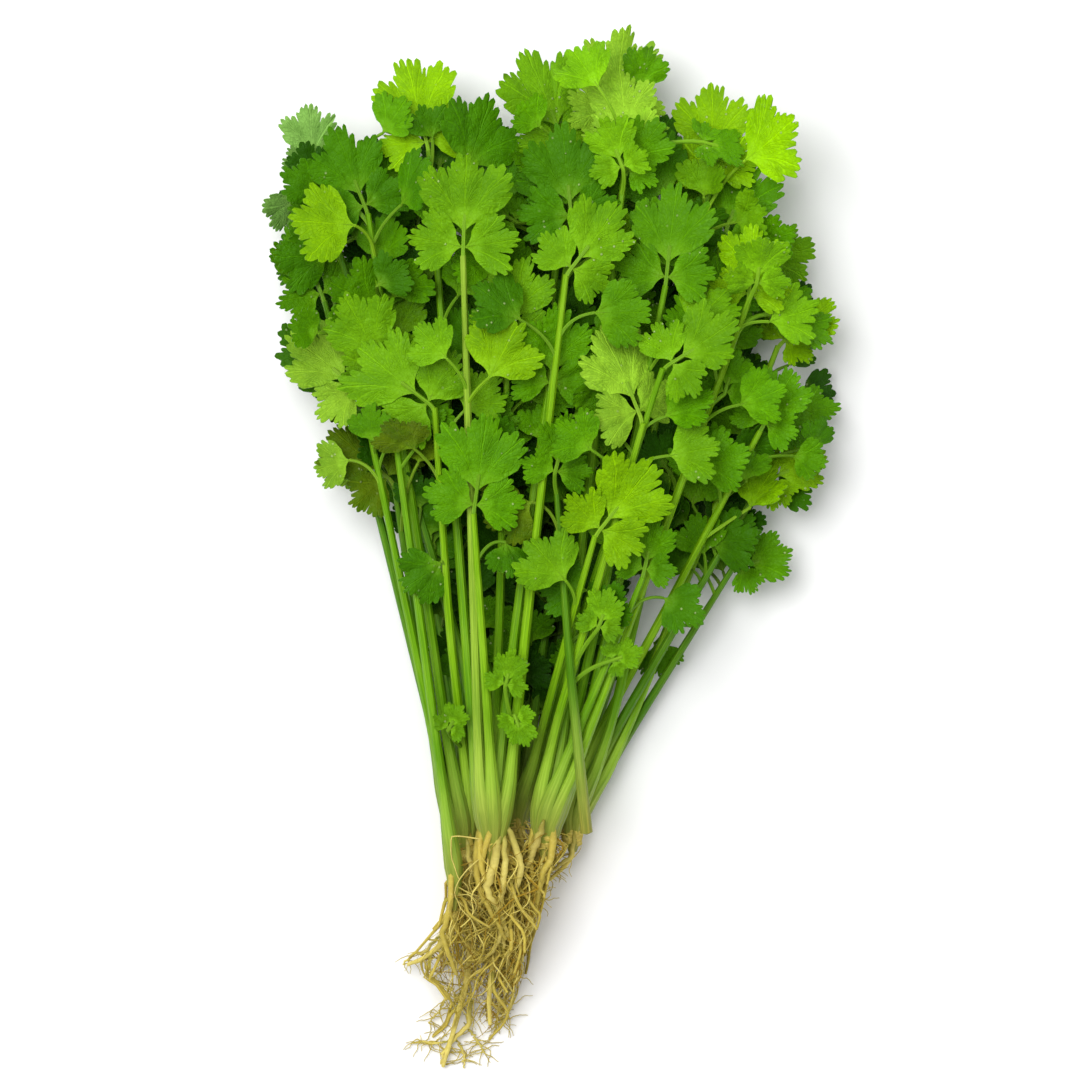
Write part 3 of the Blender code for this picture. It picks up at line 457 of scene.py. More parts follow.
class Finish:
    """A procedural material with one shader, and the nodes that lead to it."""

    def __init__(self, name, **constants):
        self.material = bpy.data.materials.new(name)
        self.material.use_nodes = True
        self.tree = self.material.node_tree
        self.shader = self.tree.nodes["Principled BSDF"]
        for socket, value in constants.items():
            self.socket(socket).default_value = value

    def socket(self, name):
        """The shader's socket of this name, which is given in small letters and underscores."""
        return self.shader.inputs[name.replace("_", " ").title().replace("Ior", "IOR")]

    def node(self, kind, settings=(), values=(), output=0):
        """Adds a node: its type, its settings, the values or links of its sockets, and the output wanted."""
        made = self.tree.nodes.new(kind)
        for name, setting in dict(settings).items():
            setattr(made, name, setting)
        for socket, value in dict(values).items():
            if isinstance(value, Value):
                self.tree.links.new(value.output, made.inputs[socket])
            else:
                made.inputs[socket].default_value = value
        return Value(self, made.outputs[output])

    def math(self, operation, *values):
        """Numbers put through one operation."""
        return self.node("ShaderNodeMath", {"operation": operation}, dict(enumerate(values)))

    def mix(self, share, first, second, blend="MIX"):
        """Two colours mixed; a plain colour is given as red, green and blue."""
        first, second = (c if isinstance(c, Value) else (*c, 1) for c in (first, second))
        settings = {"data_type": "RGBA", "blend_type": blend, "clamp_factor": True}
        return self.node("ShaderNodeMix", settings, {0: share, 6: first, 7: second}, 2)

    def noise(self, scale, detail=2, roughness=0.5, stretch=None, where=None):
        """Smooth noise over the object, or over a stretched place."""
        where = where or self.node("ShaderNodeTexCoord", output="Object")
        if stretch:
            where = self.node("ShaderNodeMapping", {}, {"Vector": where, "Scale": stretch})
        values = {"Vector": where, "Scale": scale, "Detail": detail, "Roughness": roughness}
        return self.node("ShaderNodeTexNoise", {}, values, "Fac")

    def feed(self, **sockets):
        """Leads values to the shader's sockets."""
        for socket, value in sockets.items():
            self.tree.links.new(value.output, self.socket(socket))

    def tint_and_place(self):
        """The piece's own tint, and its place on the surface, across and along."""
        place = self.node("ShaderNodeUVMap", {"uv_map": "place"}, output="UV")
        across, along = (self.node("ShaderNodeSeparateXYZ", {}, {0: place}, axis) for axis in "XY")
        return self.node("ShaderNodeAttribute", {"attribute_name": "tint"}, output="Color"), across, along

    def bump(self, height, distance, strength=1.0):
        """Raises the surface by this height times the distance, in the shading."""
        values = {"Height": height, "Distance": distance, "Strength": strength}
        self.feed(normal=self.node("ShaderNodeBump", {}, values, "Normal"))


def stalk_material():
    """Green rind: fine pale ribs and darker streaks along the stalk, and a moist gloss."""
    rind = Finish("stalk_rind", roughness=0.42, ior=1.4, specular_ior_level=0.16)
    # The place runs once round the stalk, and in millimetres along it.
    tint, turn, along = rind.tint_and_place()
    streak_place = rind.node("ShaderNodeCombineXYZ", {}, {"X": turn * 14, "Y": along * 0.05})
    streaks = rind.noise(1.0, 3, 0.6, where=streak_place)
    patches = rind.noise(60, 2)
    ribs = rind.math("SINE", turn * (math.tau * 12)) * 0.5 + 0.5
    dark = rind.mix(0.42, tint, (0.03, 0.12, 0.004))
    pale = rind.mix(0.3, tint, (0.5, 0.62, 0.1))
    colour = rind.mix(streaks.within(0.35, 0.7), dark, tint)
    colour = rind.mix(ribs * streaks.within(0.4, 0.75) * 0.6, colour, pale)
    colour = rind.mix(patches.within(0.45, 0.8) * 0.35, colour, pale)
    rind.feed(base_color=colour, roughness=streaks * 0.24 + 0.26)
    rind.bump(ribs * 0.5 + streaks * 0.5, 0.00012)
    return rind.material


stalk_rind = stalk_material()

# Roots
# Each young plant's tap root, tan and soft, under the crown where its stalks meet, in a tangle of wiry roots.
# They grew in earth and are washed: pale where thin, olive at the crowns and browner in the folds. The tap
# roots and rootlets that the solids have are placed first, in the solids' own order.

CROWN_RADIUS = 5.9
CROWN_DEPTH = 10
CROWN_GAP = 0.35
ROOT_TIP_RADIUS = 0.6
ROOT_SIDES = 6
ROOT_ROWS = 11
ROOTLET_RADIUS = 0.55
ROOTLET_TAPER = (1.3, 1.1, 1.0, 0.8)
ROOTLET_REACH = (10, 22)
ROOTLET_SIDES = 3
ROOTLET_TRIES = 12
ROOTLET_CLEARANCE = 0.5

# Each plant's tap root, from its crown down: the points it passes through, and its radius at the crown.
TAP_ROOTS = {
    "left": ([(-28, -98, 12), (-26, -116, 9), (-27, -134, 7), (-31, -150, 4), (-35, -164, 2)], 3.0),
    "front": ([(-15, -96, 27), (-13, -108, 22), (-17, -122, 17), (-20, -138, 11), (-20, -150, 7)], 3.2),
    "middle": ([(-11, -96, 8), (-11, -110, 7), (-13, -124, 6), (-12, -136, 4)], 2.6),
    "right": ([(-4, -94, 22), (-7, -104, 17), (-9, -116, 13), (-10, -130, 9)], 2.6),
    "far_right": ([(6, -93, 10), (5, -98, 10), (-1, -104, 11)], 1.8),
    "low_left": ([(-30, -110, 22), (-32, -120, 18), (-40, -128, 12), (-46, -131, 8)], 2.2),
}
THIN_CROWN_RADIUS = {"low_left": 2.6}
ROOTLETS_PER_ROOT = {"left": 8, "front": 10, "middle": 7, "right": 6, "far_right": 2, "low_left": 5}


def tube(points, radii, sides, foot_along=None):
    """A closed round bar along the points, whose foot may be cut square to a given direction."""
    corners, faces = [], []
    side = Vector((1, 0, 0))
    for i, point in enumerate(points):
        along = (points[min(i + 1, len(points) - 1)] - points[max(i - 1, 0)]).normalized()
        if i == 0 and foot_along:
            along = foot_along
        side = (side - along * side.dot(along)).normalized()
        other = along.cross(side)
        for s in range(sides):
            angle = math.tau * s / sides
            corners.append(point + radii[i] * (math.cos(angle) * side + math.sin(angle) * other))
    for i in range(len(points) - 1):
        for s in range(sides):
            a, b = i * sides + s, i * sides + (s + 1) % sides
            faces += [(a, b, b + sides), (a, b + sides, a + sides)]
    last = (len(points) - 1) * sides
    for s in range(1, sides - 1):
        faces += [(0, s + 1, s), (last, last + s, last + s + 1)]
    return corners, faces


class Obstacles:
    # Painted shade: the dark stalk green, darkened further by LOW_STALK_SHADE.
    """The meshes already in place, which a new leaf or rootlet has to stay clear of."""

    def __init__(self):
        self.kept = []

    def add(self, owner, corners, faces):
        """Keeps a mesh, with its box, under its owner's name."""
        points = np.array(corners)
        self.kept.append((owner, points.min(0), points.max(0), BVHTree.FromPolygons(corners, faces)))

    def hit(self, corners, faces, spare=None):
        """Whether a mesh touches any that is kept, apart from the one of the spared owner."""
        points = np.array(corners)
        low, high = points.min(0), points.max(0)
        tree = BVHTree.FromPolygons(corners, faces)
        return any(
            owner != spare and (low <= top).all() and (high >= bottom).all() and tree.overlap(other)
            for owner, bottom, top, other in self.kept
        )


def tap_root(plant, count):
    """A tap root's line and radii: the crown is a knob with a flat top, and the root tapers under it."""
    x, y, z = CROWNS[plant]
    through, thick = TAP_ROOTS[plant]
    crown = THIN_CROWN_RADIUS.get(plant, CROWN_RADIUS)
    top = y - CROWN_GAP
    path = [Vector((x, top, z)), Vector((x, top - CROWN_DEPTH / 2, z))] + [Vector(p) for p in through]
    line = smooth_line(path, np.linspace(0, 1, count) ** 1.5)
    radii = []
    gone = 0.0
    for i, point in enumerate(line):
        gone += (point - line[max(i - 1, 0)]).length
        slim = thick + (ROOT_TIP_RADIUS - thick) * i / (count - 1)
        knob = math.sqrt(max(0.0, 1 - (gone / CROWN_DEPTH) ** 2))
        radii.append(slim + (crown - thick) * knob)
        point.z = max(point.z, radii[-1])
    return line, radii


def rootlet_line(plant, number, line, attempt):
    """A rootlet that leaves the tap root, spreads sideways and then trails down, never under the surface."""
    draw = random.Random(f"{plant} {number} {attempt}")
    start = line[int(len(line) * draw.uniform(0.25, 0.85))]
    side = Vector((draw.uniform(-1, 1), draw.uniform(-0.9, -0.2), draw.uniform(-0.7, 0.5))).normalized()
    runs = len(ROOTLET_TAPER) - 1
    run = side * draw.uniform(*ROOTLET_REACH) / runs
    points = [start]
    for step in range(1, runs + 1):
        sway = Vector((draw.uniform(-2, 2), -1.6 * step, -0.6 * step))
        point = start + run * step + sway
        point.z = max(point.z, ROOTLET_RADIUS)
        points.append(point)
    return points


def place_roots(obstacles):
    """Each plant's rootlets that found room, as lines, with every root kept clear for the leaves."""
    radii = [ROOTLET_RADIUS * share for share in ROOTLET_TAPER]
    placed = {plant: [] for plant in TAP_ROOTS}
    for plant in TAP_ROOTS:
        obstacles.add((plant, "tap"), *tube(*tap_root(plant, ROOT_ROWS), ROOT_SIDES))
    for plant in TAP_ROOTS:
        line, _ = tap_root(plant, 4 * ROOT_ROWS)
        for number in range(ROOTLETS_PER_ROOT[plant]):
            for attempt in range(ROOTLET_TRIES):
                points = rootlet_line(plant, number, line, attempt)
                roomy = tube(points, [radius + ROOTLET_CLEARANCE for radius in radii], ROOTLET_SIDES)
                if not obstacles.hit(*roomy, spare=(plant, "tap")):
                    placed[plant].append(points)
                    obstacles.add((plant, number), *tube(points, radii, ROOTLET_SIDES))
                    break
    return placed


obstacles = Obstacles()
for k, line in enumerate(stems):
    radii = [stem_radius(i / (len(line) - 1)) for i in range(len(line))]
    radii[0] = STEM_FOOT_RADIUS
    obstacles.add((k, "stalk"), *tube(line, radii, STEM_SIDES, foot_along=Vector((0, 1, 0))))
rootlets = place_roots(obstacles)

ROOT_TAN = paint(194, 176, 76)
ROOT_PALE = paint(226, 210, 112)
ROOT_BROWN = paint(158, 128, 34)
CROWN_OLIVE = paint(140, 138, 52)
CROWN_OLIVE_SHARE = 0.16
NECK_SHARE = 0.55
FINE_ROOT_ROWS = 64
FINE_ROOT_SIDES = 16
ROOT_WRINKLES = 0.13
FINE_ROOTLET_ROWS = 14
FINE_ROOTLET_TAPER = (1.25, 0.75)

# The tangle's edges from the crowns down, as y, left, right and height, and how far a root may stand out.
TANGLE = [
    (-90, -32, 6, 34), (-100, -33, -2, 33), (-110, -33, -4, 30), (-118, -35, -6, 26), (-124, -42, -8, 23),
    (-131, -47, -9, 18), (-136, -36, -10, 15), (-143, -31, -13, 10), (-150, -33, -17, 7), (-157, -40, -24, 4),
    (-166, -38, -28, 3),
]
TANGLE_SPARE = 1

# The wiry rootlets: how many trail from each tap root, how thick, long and low they get, and how they turn.
WIRES = {"left": 150, "front": 190, "middle": 120, "right": 80, "far_right": 8, "low_left": 70}
WIRE_RADII = (0.11, 0.4)
WIRE_TAPER = (1.1, 0.55)
WIRE_STEP = 1.7
WIRE_STEPS = (14, 36)
WIRE_LOWEST = (-156, -124)
WIRE_SIDES = 5
WIRE_EDGE = 1.5
WIRE_FLOOR = 0.7

# The thick strands that leave the crowns: how many for each plant, how long, how far round the tap root they
# swing, and where they start over the crown.
THICK_STRANDS = {"left": 3, "front": 6, "middle": 3, "right": 3, "low_left": 2}
THICK_ROWS = 26
THICK_LENGTH = (24, 46)
THICK_RADII = (0.9, 1.5)
THICK_START = 7
THICK_NEAR = 1.2
THICK_OUT = 4.2
THICK_TURN = 1.6
THICK_FALL = 4
THICK_FLOOR = 1.4

# The thin ends that part from the tangle at the bottom, and the broader strands that loop out of its front:
# the points that each passes through, and its radius.
STRANDS = [
    ([(-26, -140, 5), (-27, -150, 3), (-33, -157, 2.2), (-36, -163.5, 1.4)], 0.95),
    ([(-33, -156, 2), (-38, -156.5, 1.6), (-43, -155.5, 1.2)], 0.5),
    ([(-31, -155, 1.6), (-28.5, -160, 1.3), (-28, -164.5, 1)], 0.5),
    ([(-28, -150, 2.4), (-24, -156, 1.6), (-22, -159.5, 1.2)], 0.5),
    ([(-17, -138, 6), (-17, -145, 3), (-18.5, -150.5, 1.4)], 0.55),
    ([(-12, -136, 5), (-14, -146, 3), (-18, -151.5, 1.2)], 0.5),
    ([(-33, -138, 5), (-35, -144, 3), (-39.5, -150, 1.2)], 0.5),
    ([(-34, -120, 15), (-41, -127, 10), (-44, -127.5, 7), (-47.5, -131.5, 4)], 0.6),
    ([(-17.5, -83, 26), (-18, -95, 31), (-20.5, -106, 30), (-17, -112, 27), (-14, -121, 22)], 1.5),
    ([(-16, -82, 26), (-11.5, -93, 29), (-10, -101, 29), (-13, -110, 25), (-11, -118, 21)], 1.3),
    ([(-16, -84, 26), (-15, -97, 31), (-16, -107, 29), (-17, -117, 24), (-15, -125, 18)], 1.2),
    ([(-20, -108, 29), (-16, -118, 24), (-20, -127, 18), (-28, -131, 12)], 0.9),
    ([(-11, -122, 20), (-14.5, -129, 16), (-11, -136, 11)], 0.8),
    ([(-27, -90, 25), (-26, -98, 24), (-23, -106, 22), (-24, -118, 18)], 1.0),
    ([(-3, -84, 31), (-6, -94, 28), (-9, -101, 24)], 1.3),
    ([(-2, -92, 28), (-4, -102, 24), (-5, -111, 18)], 0.6),
    ([(7, -88, 15), (6, -96, 13), (2, -99, 12), (-3, -103, 11)], 0.9),
]
STRAND_ROWS = 22
# A strand's thickness along it, as shares of its length and of its radius, and how much of it is olive.
STRAND_TAPER = ((0, 0.12, 0.3, 1), (0.35, 0.8, 1, 0.5))
STRAND_OLIVE_SHARE = 0.35

# The thinnest branches, and the box that they stay in, as left, right and bottom.
HAIRS_PER_STRAND = 16
HAIR_STEP = 0.9
HAIR_STEPS = (5, 9)
HAIR_RADII = (0.2, 0.09)
HAIR_FLOOR = 0.4
HAIR_BOX = (-52, 10, -165)


def at_tangle(y):
    """The tangle's left edge, right edge and height at this y."""
    ys = [-row[0] for row in TANGLE]
    return [np.interp(-y, ys, [row[part] for row in TANGLE]) for part in (1, 2, 3)]


def kept_in(point):
    """A rootlet's point, drawn in where it would stand out at the tangle's sides."""
    left, right, _ = at_tangle(point.y)
    return Vector((min(max(point.x, left - TANGLE_SPARE), right + TANGLE_SPARE), point.y, point.z))


def wire(start, draw):
    """A rootlet that wanders down and towards the surface, turned back where it would leave the tangle."""
    steps = draw.randint(*WIRE_STEPS)
    lowest = draw.uniform(*WIRE_LOWEST)
    way = np.array([draw.uniform(-1.3, 1.3), draw.uniform(-1, 0.15), draw.uniform(-0.7, 0.7)])
    curl = np.array([draw.uniform(-1, 1), draw.uniform(-0.4, 0.4), draw.uniform(-0.6, 0.6)])
    point = np.array(start, float)
    points = [point]
    for _ in range(steps):
        left, right, height = at_tangle(point[1])
        curl = curl * 0.72 + 0.5 * np.array([draw.gauss(0, 1), draw.gauss(0, 0.6), draw.gauss(0, 0.6)])
        way = way * 0.78 + curl * 0.34 + np.array([0, -0.2, -0.1])
        if not left + WIRE_EDGE < point[0] < right - WIRE_EDGE:
            way[0] += 0.5 * np.sign((left + right) / 2 - point[0])
        if point[2] > height:
            way[2] -= 0.4
        way /= np.linalg.norm(way)
        point = point + WIRE_STEP * way
        point[0] = min(max(point[0], left), right)
        if point[1] < lowest:
            break
        point[2] = max(point[2], WIRE_FLOOR)
        points.append(point)
    return points


def thick_strand(plant, number, trunk, draw):
    """A thick strand that leaves the crown under the stalks and swings round the tap root on its way down."""
    crown = Vector(CROWNS[plant])
    length = draw.uniform(*THICK_LENGTH)
    lean = draw.uniform(-1, 1)
    around = math.tau * (number + draw.random()) / THICK_STRANDS[plant]
    path = []
    for step in range(THICK_ROWS):
        share = step / (THICK_ROWS - 1)
        y = crown.y + THICK_START - share * length
        middle = trunk[int(share * FINE_ROOT_ROWS * 0.5)]
        wide = THICK_NEAR + THICK_OUT * math.sin(math.pi * share) ** 0.8 + draw.gauss(0, 0.12)
        swing = around + THICK_TURN * share * lean
        left, right, _ = at_tangle(y)
        x = min(max(middle.x + wide * math.cos(swing), left + TANGLE_SPARE), right - TANGLE_SPARE)
        z = max(middle.z + wide * math.sin(swing) - THICK_FALL * share, THICK_FLOOR)
        path.append(Vector((x, y, z)))
    return path


def tapered(radius, count):
    """A strand's radius at each of its points."""
    return radius * np.interp(np.linspace(0, 1, count), *STRAND_TAPER)


def browned(tint, count):
    """A strand's tint at each of its points: the crown's olive where it leaves the stalks, then its own."""
    olive = np.clip(1 - np.linspace(0, 1, count) / STRAND_OLIVE_SHARE, 0, 1)[:, None]
    return tint * (1 - olive) + CROWN_OLIVE * olive


def hairs(path, draw):
    """Short hair-thin rootlets that branch off a strand's lower half."""
    found = []
    box_left, box_right, box_bottom = HAIR_BOX
    for _ in range(HAIRS_PER_STRAND):
        point = path[draw.randrange(len(path) // 3, len(path))].copy()
        way = Vector((draw.choice((-1, 1)) * draw.uniform(0.4, 1), draw.uniform(-1, 0.25), 0)).normalized()
        line = [point]
        for _ in range(draw.randint(*HAIR_STEPS)):
            way = (way + Vector((draw.gauss(0, 0.3), draw.gauss(0, 0.3), -0.05))).normalized()
            point = point + HAIR_STEP * way
            point.z = max(point.z, HAIR_FLOOR)
            line.append(point)
        if all(box_left < place.x < box_right and place.y > box_bottom for place in line):
            found.append((line, np.linspace(*HAIR_RADII, len(line)), ROOT_TAN * draw.uniform(0.8, 1.1)))
    return found


def root_lines(plant, draw):
    """Every line of one plant's tangle, each with its radii and its tint or tints."""
    lines = []
    for rootlet in rootlets[plant]:
        path = [kept_in(point) for point in smooth_line(rootlet, np.linspace(0, 1, FINE_ROOTLET_ROWS))]
        radii = np.linspace(*FINE_ROOTLET_TAPER, FINE_ROOTLET_ROWS) * ROOTLET_RADIUS
        lines.append((path, radii, browned(ROOT_TAN * draw.uniform(0.8, 1.15), FINE_ROOTLET_ROWS)))
    trunk, _ = tap_root(plant, FINE_ROOT_ROWS)
    thinnest, thickest = WIRE_RADII
    for _ in range(WIRES[plant]):
        path = wire(trunk[int(FINE_ROOT_ROWS * draw.uniform(0.05, 0.97))], draw)
        radius = thinnest + (thickest - thinnest) * draw.random() ** 2
        tint = draw.choice((ROOT_TAN, ROOT_TAN, ROOT_PALE, ROOT_BROWN)) * draw.uniform(0.8, 1.1)
        lines.append((path, radius * np.linspace(*WIRE_TAPER, len(path)), tint))
    for number in range(THICK_STRANDS.get(plant, 0)):
        path = thick_strand(plant, number, trunk, draw)
        radii = tapered(draw.uniform(*THICK_RADII), THICK_ROWS)
        lines.append((path, radii, browned(ROOT_TAN * draw.uniform(0.9, 1.15), THICK_ROWS)))
    if plant == "front":
        for points, radius in STRANDS:
            smooth = smooth_line([Vector(point) for point in points], np.linspace(0, 1, STRAND_ROWS))
            path = [point + Vector((draw.gauss(0, 0.25), draw.gauss(0, 0.15), 0)) for point in smooth]
            tints = browned(ROOT_PALE * draw.uniform(0.8, 1.0), STRAND_ROWS)
            lines.append((path, tapered(radius, STRAND_ROWS), tints))
            lines += hairs(path, draw)
    return lines


def swept(name, skin_material):
    """A tree that makes lines into round bars of the thickness each point tells, with closed ends."""
    tree = bpy.data.node_groups.new(name, "GeometryNodeTree")
    for socket, way, kind in (("Lines", "INPUT", "Geometry"), ("Sides", "INPUT", "Int"),
                              ("Widening", "INPUT", "Float"), ("Bars", "OUTPUT", "Geometry")):
        tree.interface.new_socket(socket, in_out=way, socket_type=f"NodeSocket{kind}")
    nodes, link = tree.nodes, tree.links.new
    given, made = nodes.new("NodeGroupInput"), nodes.new("NodeGroupOutput")
    thickness = nodes.new("GeometryNodeInputNamedAttribute")
    thickness.data_type = "FLOAT"
    thickness.inputs["Name"].default_value = "thickness"
    widened = nodes.new("ShaderNodeMath")
    widened.operation = "MULTIPLY"
    lines = nodes.new("GeometryNodeMeshToCurve")
    radius = nodes.new("GeometryNodeSetCurveRadius")
    round_profile = nodes.new("GeometryNodeCurvePrimitiveCircle")
    round_profile.inputs["Radius"].default_value = 1.0
    bars = nodes.new("GeometryNodeCurveToMesh")
    bars.inputs["Fill Caps"].default_value = True
    whole = nodes.new("GeometryNodeRealizeInstances")
    finish = nodes.new("GeometryNodeSetMaterial")
    finish.inputs["Material"].default_value = skin_material
    link(given.outputs["Lines"], lines.inputs["Mesh"])
    link(thickness.outputs["Attribute"], widened.inputs[0])
    link(given.outputs["Widening"], widened.inputs[1])
    link(lines.outputs["Curve"], radius.inputs["Curve"])
    link(widened.outputs["Value"], radius.inputs["Radius"])
    link(given.outputs["Sides"], round_profile.inputs["Resolution"])
    link(radius.outputs["Curve"], bars.inputs["Curve"])
    link(round_profile.outputs["Curve"], bars.inputs["Profile Curve"])
    if "Scale" in bars.inputs:
        link(widened.outputs["Value"], bars.inputs["Scale"])
    link(bars.outputs["Mesh"], whole.inputs["Geometry"])
    link(whole.outputs["Geometry"], finish.inputs["Geometry"])
    link(finish.outputs["Geometry"], made.inputs["Bars"])
    return tree


def grown(name, mesh, tree, **inputs):
    """A mesh made through a tree with these inputs, as a plain mesh on an object at the origin."""
    body = bpy.data.objects.new(name, mesh)
    bpy.context.scene.collection.objects.link(body)
    modifier = body.modifiers.new("growth", "NODES")
    modifier.node_group = tree
    for item in tree.interface.items_tree:
        if item.in_out == "INPUT" and item.name in inputs:
            modifier[item.identifier] = inputs[item.name]
    result = bpy.data.meshes.new_from_object(body.evaluated_get(bpy.context.evaluated_depsgraph_get()))
    body.modifiers.remove(modifier)
    body.data = result
    result.name = name
    return body


def root_material():
    """Root skin: tan with brown rings, stains of earth in patches, and a dull damp surface."""
    skin = Finish("root_skin", roughness=0.72, ior=1.4, specular_ior_level=0.15)
    tint = skin.node("ShaderNodeAttribute", {"attribute_name": "tint"}, output="Color")
    rings = skin.noise(1.0, 3, 0.6, stretch=(110, 620, 110))
    stains = skin.noise(150, 3).within(0.42, 0.66)
    fine = skin.noise(900, 2)
    brown = skin.mix(0.45, tint, (0.16, 0.09, 0.012))
    pale = skin.mix(0.3, tint, (0.78, 0.68, 0.34))
    colour = skin.mix(0.65 + rings.within(0.35, 0.65) * 0.35, brown, tint)
    colour = skin.mix(stains * 0.4, colour, brown)
    colour = skin.mix(fine.within(0.5, 0.75) * 0.5, colour, pale)
    skin.feed(base_color=colour, roughness=0.82 - fine * 0.25)
    skin.bump(rings * 0.4 + fine * 0.4, 0.0002)
    return skin.material


root_skin = root_material()
sweep = swept("root_sweep", root_skin)


def line_mesh(name, lines):
    """Open lines as a mesh of edges, with each point's thickness in millimetres and its tint."""
    points, edges, thickness, tints = [], [], [], []
    for line, radii, tint in lines:
        first = len(points)
        points += [tuple(p) for p in line]
        edges += [(first + i, first + i + 1) for i in range(len(line) - 1)]
        thickness += list(radii)
        tints += [tuple(colour) for colour in np.broadcast_to(tint, (len(line), 3))]
    mesh = bpy.data.meshes.new(name)
    mesh.from_pydata(np.array(points) * MM, edges, [])
    mesh.attributes.new("thickness", "FLOAT", "POINT").data.foreach_set("value", thickness)
    colours = np.column_stack([np.array(tints), np.ones(len(tints))])
    mesh.attributes.new("tint", "FLOAT_COLOR", "POINT").data.foreach_set("color", colours.ravel())
    return mesh


def add_tap_root(skin, plant):
    """The crown and tap root, wrinkled, greenish at the top where the stalks leave and paler to the tip."""
    draw = random.Random(f"tap {plant}")
    line, radii = tap_root(plant, FINE_ROOT_ROWS)
    neck = NECK_SHARE + (1 - NECK_SHARE) * np.linspace(0, 1, FINE_ROOT_ROWS)
    radii = np.array(radii) * neck
    rough = np.array([[draw.gauss(0, 1) for _ in range(FINE_ROOT_SIDES)] for _ in range(FINE_ROOT_ROWS)])
    smooth = (rough + np.roll(rough, 1, 0) + np.roll(rough, 1, 1) + np.roll(rough, -1, 1)) / 4
    share = np.linspace(0, 1, FINE_ROOT_ROWS)[:, None]
    top = np.clip(1 - share / CROWN_OLIVE_SHARE, 0, 1)
    tints = ROOT_TAN * (1 - share) + ROOT_PALE * share
    tints = tints * (1 - top) + CROWN_OLIVE * top
    points = np.array(line)
    # The lowest roots are lifted until their wrinkles clear the surface.
    points[:, 2] = np.maximum(points[:, 2], radii * 1.1)
    add_bar(skin, points, radii, tints, 0, FINE_ROOT_SIDES, rough=1 + ROOT_WRINKLES * smooth)


for plant in TAP_ROOTS:
    lines = root_lines(plant, random.Random(f"wires {plant}"))
    mesh = line_mesh(f"wires_{plant}", lines)
    body = grown(f"fine_root_{plant}", mesh, sweep, Sides=WIRE_SIDES, Widening=MM)
    skin = Skin()
    add_tap_root(skin, plant)
    core = skin.piece(f"core_{plant}", [root_skin])
    with bpy.context.temp_override(active_object=body, selected_editable_objects=[body, core], object=body):
        bpy.ops.object.join()
    for polygon in body.data.polygons:
        polygon.use_smooth = True
    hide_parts(f"root_{plant}")
    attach(body, "root")


# Leaves
# Soft fan-shaped leaflets of three lobes with blunt teeth, one or three to a leaf, on thin stalks that leave
# the stem. The blades are waved and veined, yellow-green with painted light and deep with painted shade. Each
# is fitted by the solids' own rules first, so it keeps the place and tilt of its solid and is a little
# fuller.

BUNCH_LEFT = -91
BUNCH_RIGHT = 90
BUNCH_TOP = 166
BUNCH_HEIGHT = 58
BLADE_THICKNESS = 0.8
BLADE_ROOM = 1.8
BLADE_BEND = (-0.22, 0.16)
BLADE_FOLD = (-0.12, 0.3)
STALK_HALF_WIDTH = 0.75
STALK_SWING = 0.45
RACHIS_SHARE = 0.55
LEAFLET_SPREAD = 60
SIDE_LEAFLET_SPREAD = 52
SIDE_LEAFLET_TURN = 80
SIDE_LEAFLET_SHARE = 0.85
END_LEAFLET_TEETH = 5
OTHER_LEAFLET_TEETH = 4
OUTER_TOOTH_CUT = 0.3
LOBE_VALLEY = 0.7
TOOTH_VALLEY = 0.86
BETWEEN_LOBES = (0.2, 0.7)
TIP_LEAF_REACH = 2
TIP_LEAF_SIZES = (1.0, 0.88, 0.76, 0.62)
SIDE_LEAF_SIZES = (1.2, 1.05, 0.9, 0.75, 0.6)
SIDE_LEAF_PITCH = (-22, 26)
SIDE_LEAF_ROLL = (-32, 32)
RISES = (0, 1.5, -1.5, 3, -3, 5, -5, 8, -8, 11, -11)
TURNS = ((0, 0, 0), (0, 16, 0), (0, -16, 0), (14, 0, 12), (-14, 0, -12), (10, 24, -20), (10, -24, 20))

# The side leaves that lie flat on the surface: the stem's number and the leaf's place in its list.
FLAT_LEAVES = {(30, 0), (32, 0), (34, 1)}

ROUNDING = 1e-6


class Blade:
    """One closed leaf: two skins split into the same triangles, and a rim between them."""

    def __init__(self):
        self.corners = []
        self.faces = []

    def pair(self, point, normal, half):
        """Adds a point of the upper skin and the one below it, and gives the upper one's number."""
        self.corners += [point + normal * half, point - normal * half]
        return len(self.corners) - 2

    def skin(self, a, b, c):
        """A triangle of the upper skin, and the one below it."""
        self.faces += [(a, b, c), (a + 1, c + 1, b + 1)]

    def wall(self, a, b):
        """The rim between two pairs."""
        self.faces += [(a, a + 1, b + 1), (a, b + 1, b)]

    def strip(self, low, high):
        """Joins two rows, each a right and a left pair."""
        self.skin(low[0], high[0], high[1])
        self.skin(low[0], high[1], low[1])


def leaflet_edge(length, spread, teeth, draw):
    """The toothed edge of one leaflet, right to left, as points along and across it, with three lobes."""
    edge = []
    for step in range(2 * teeth - 1):
        share = step / (teeth - 1) - 1
        reach = length * (1 - OUTER_TOOTH_CUT * share * share) * draw.uniform(0.95, 1.05)
        if step % 2:
            between_lobes = BETWEEN_LOBES[0] < abs(share) < BETWEEN_LOBES[1]
            reach *= LOBE_VALLEY if between_lobes else TOOTH_VALLEY
        angle = math.radians(spread * share)
        edge.append((reach * math.cos(angle), reach * math.sin(angle)))
    return edge


def directions(heading, pitch, roll):
    """The ways that run ahead along a blade, to its left and up from it."""
    turns = zip((heading, -pitch, roll), "ZYX")
    about_z, about_y, about_x = (Matrix.Rotation(math.radians(angle), 3, axis) for angle, axis in turns)
    turn = about_z @ about_y @ about_x
    return turn.col[0], turn.col[1], turn.col[2]


def turned_out(ahead, left, degrees):
    """A leaflet's own way out and the way across it, turned from the leaf's."""
    angle = math.radians(degrees)
    out = ahead * math.cos(angle) + left * math.sin(angle)
    return out, left * math.cos(angle) - ahead * math.sin(angle)


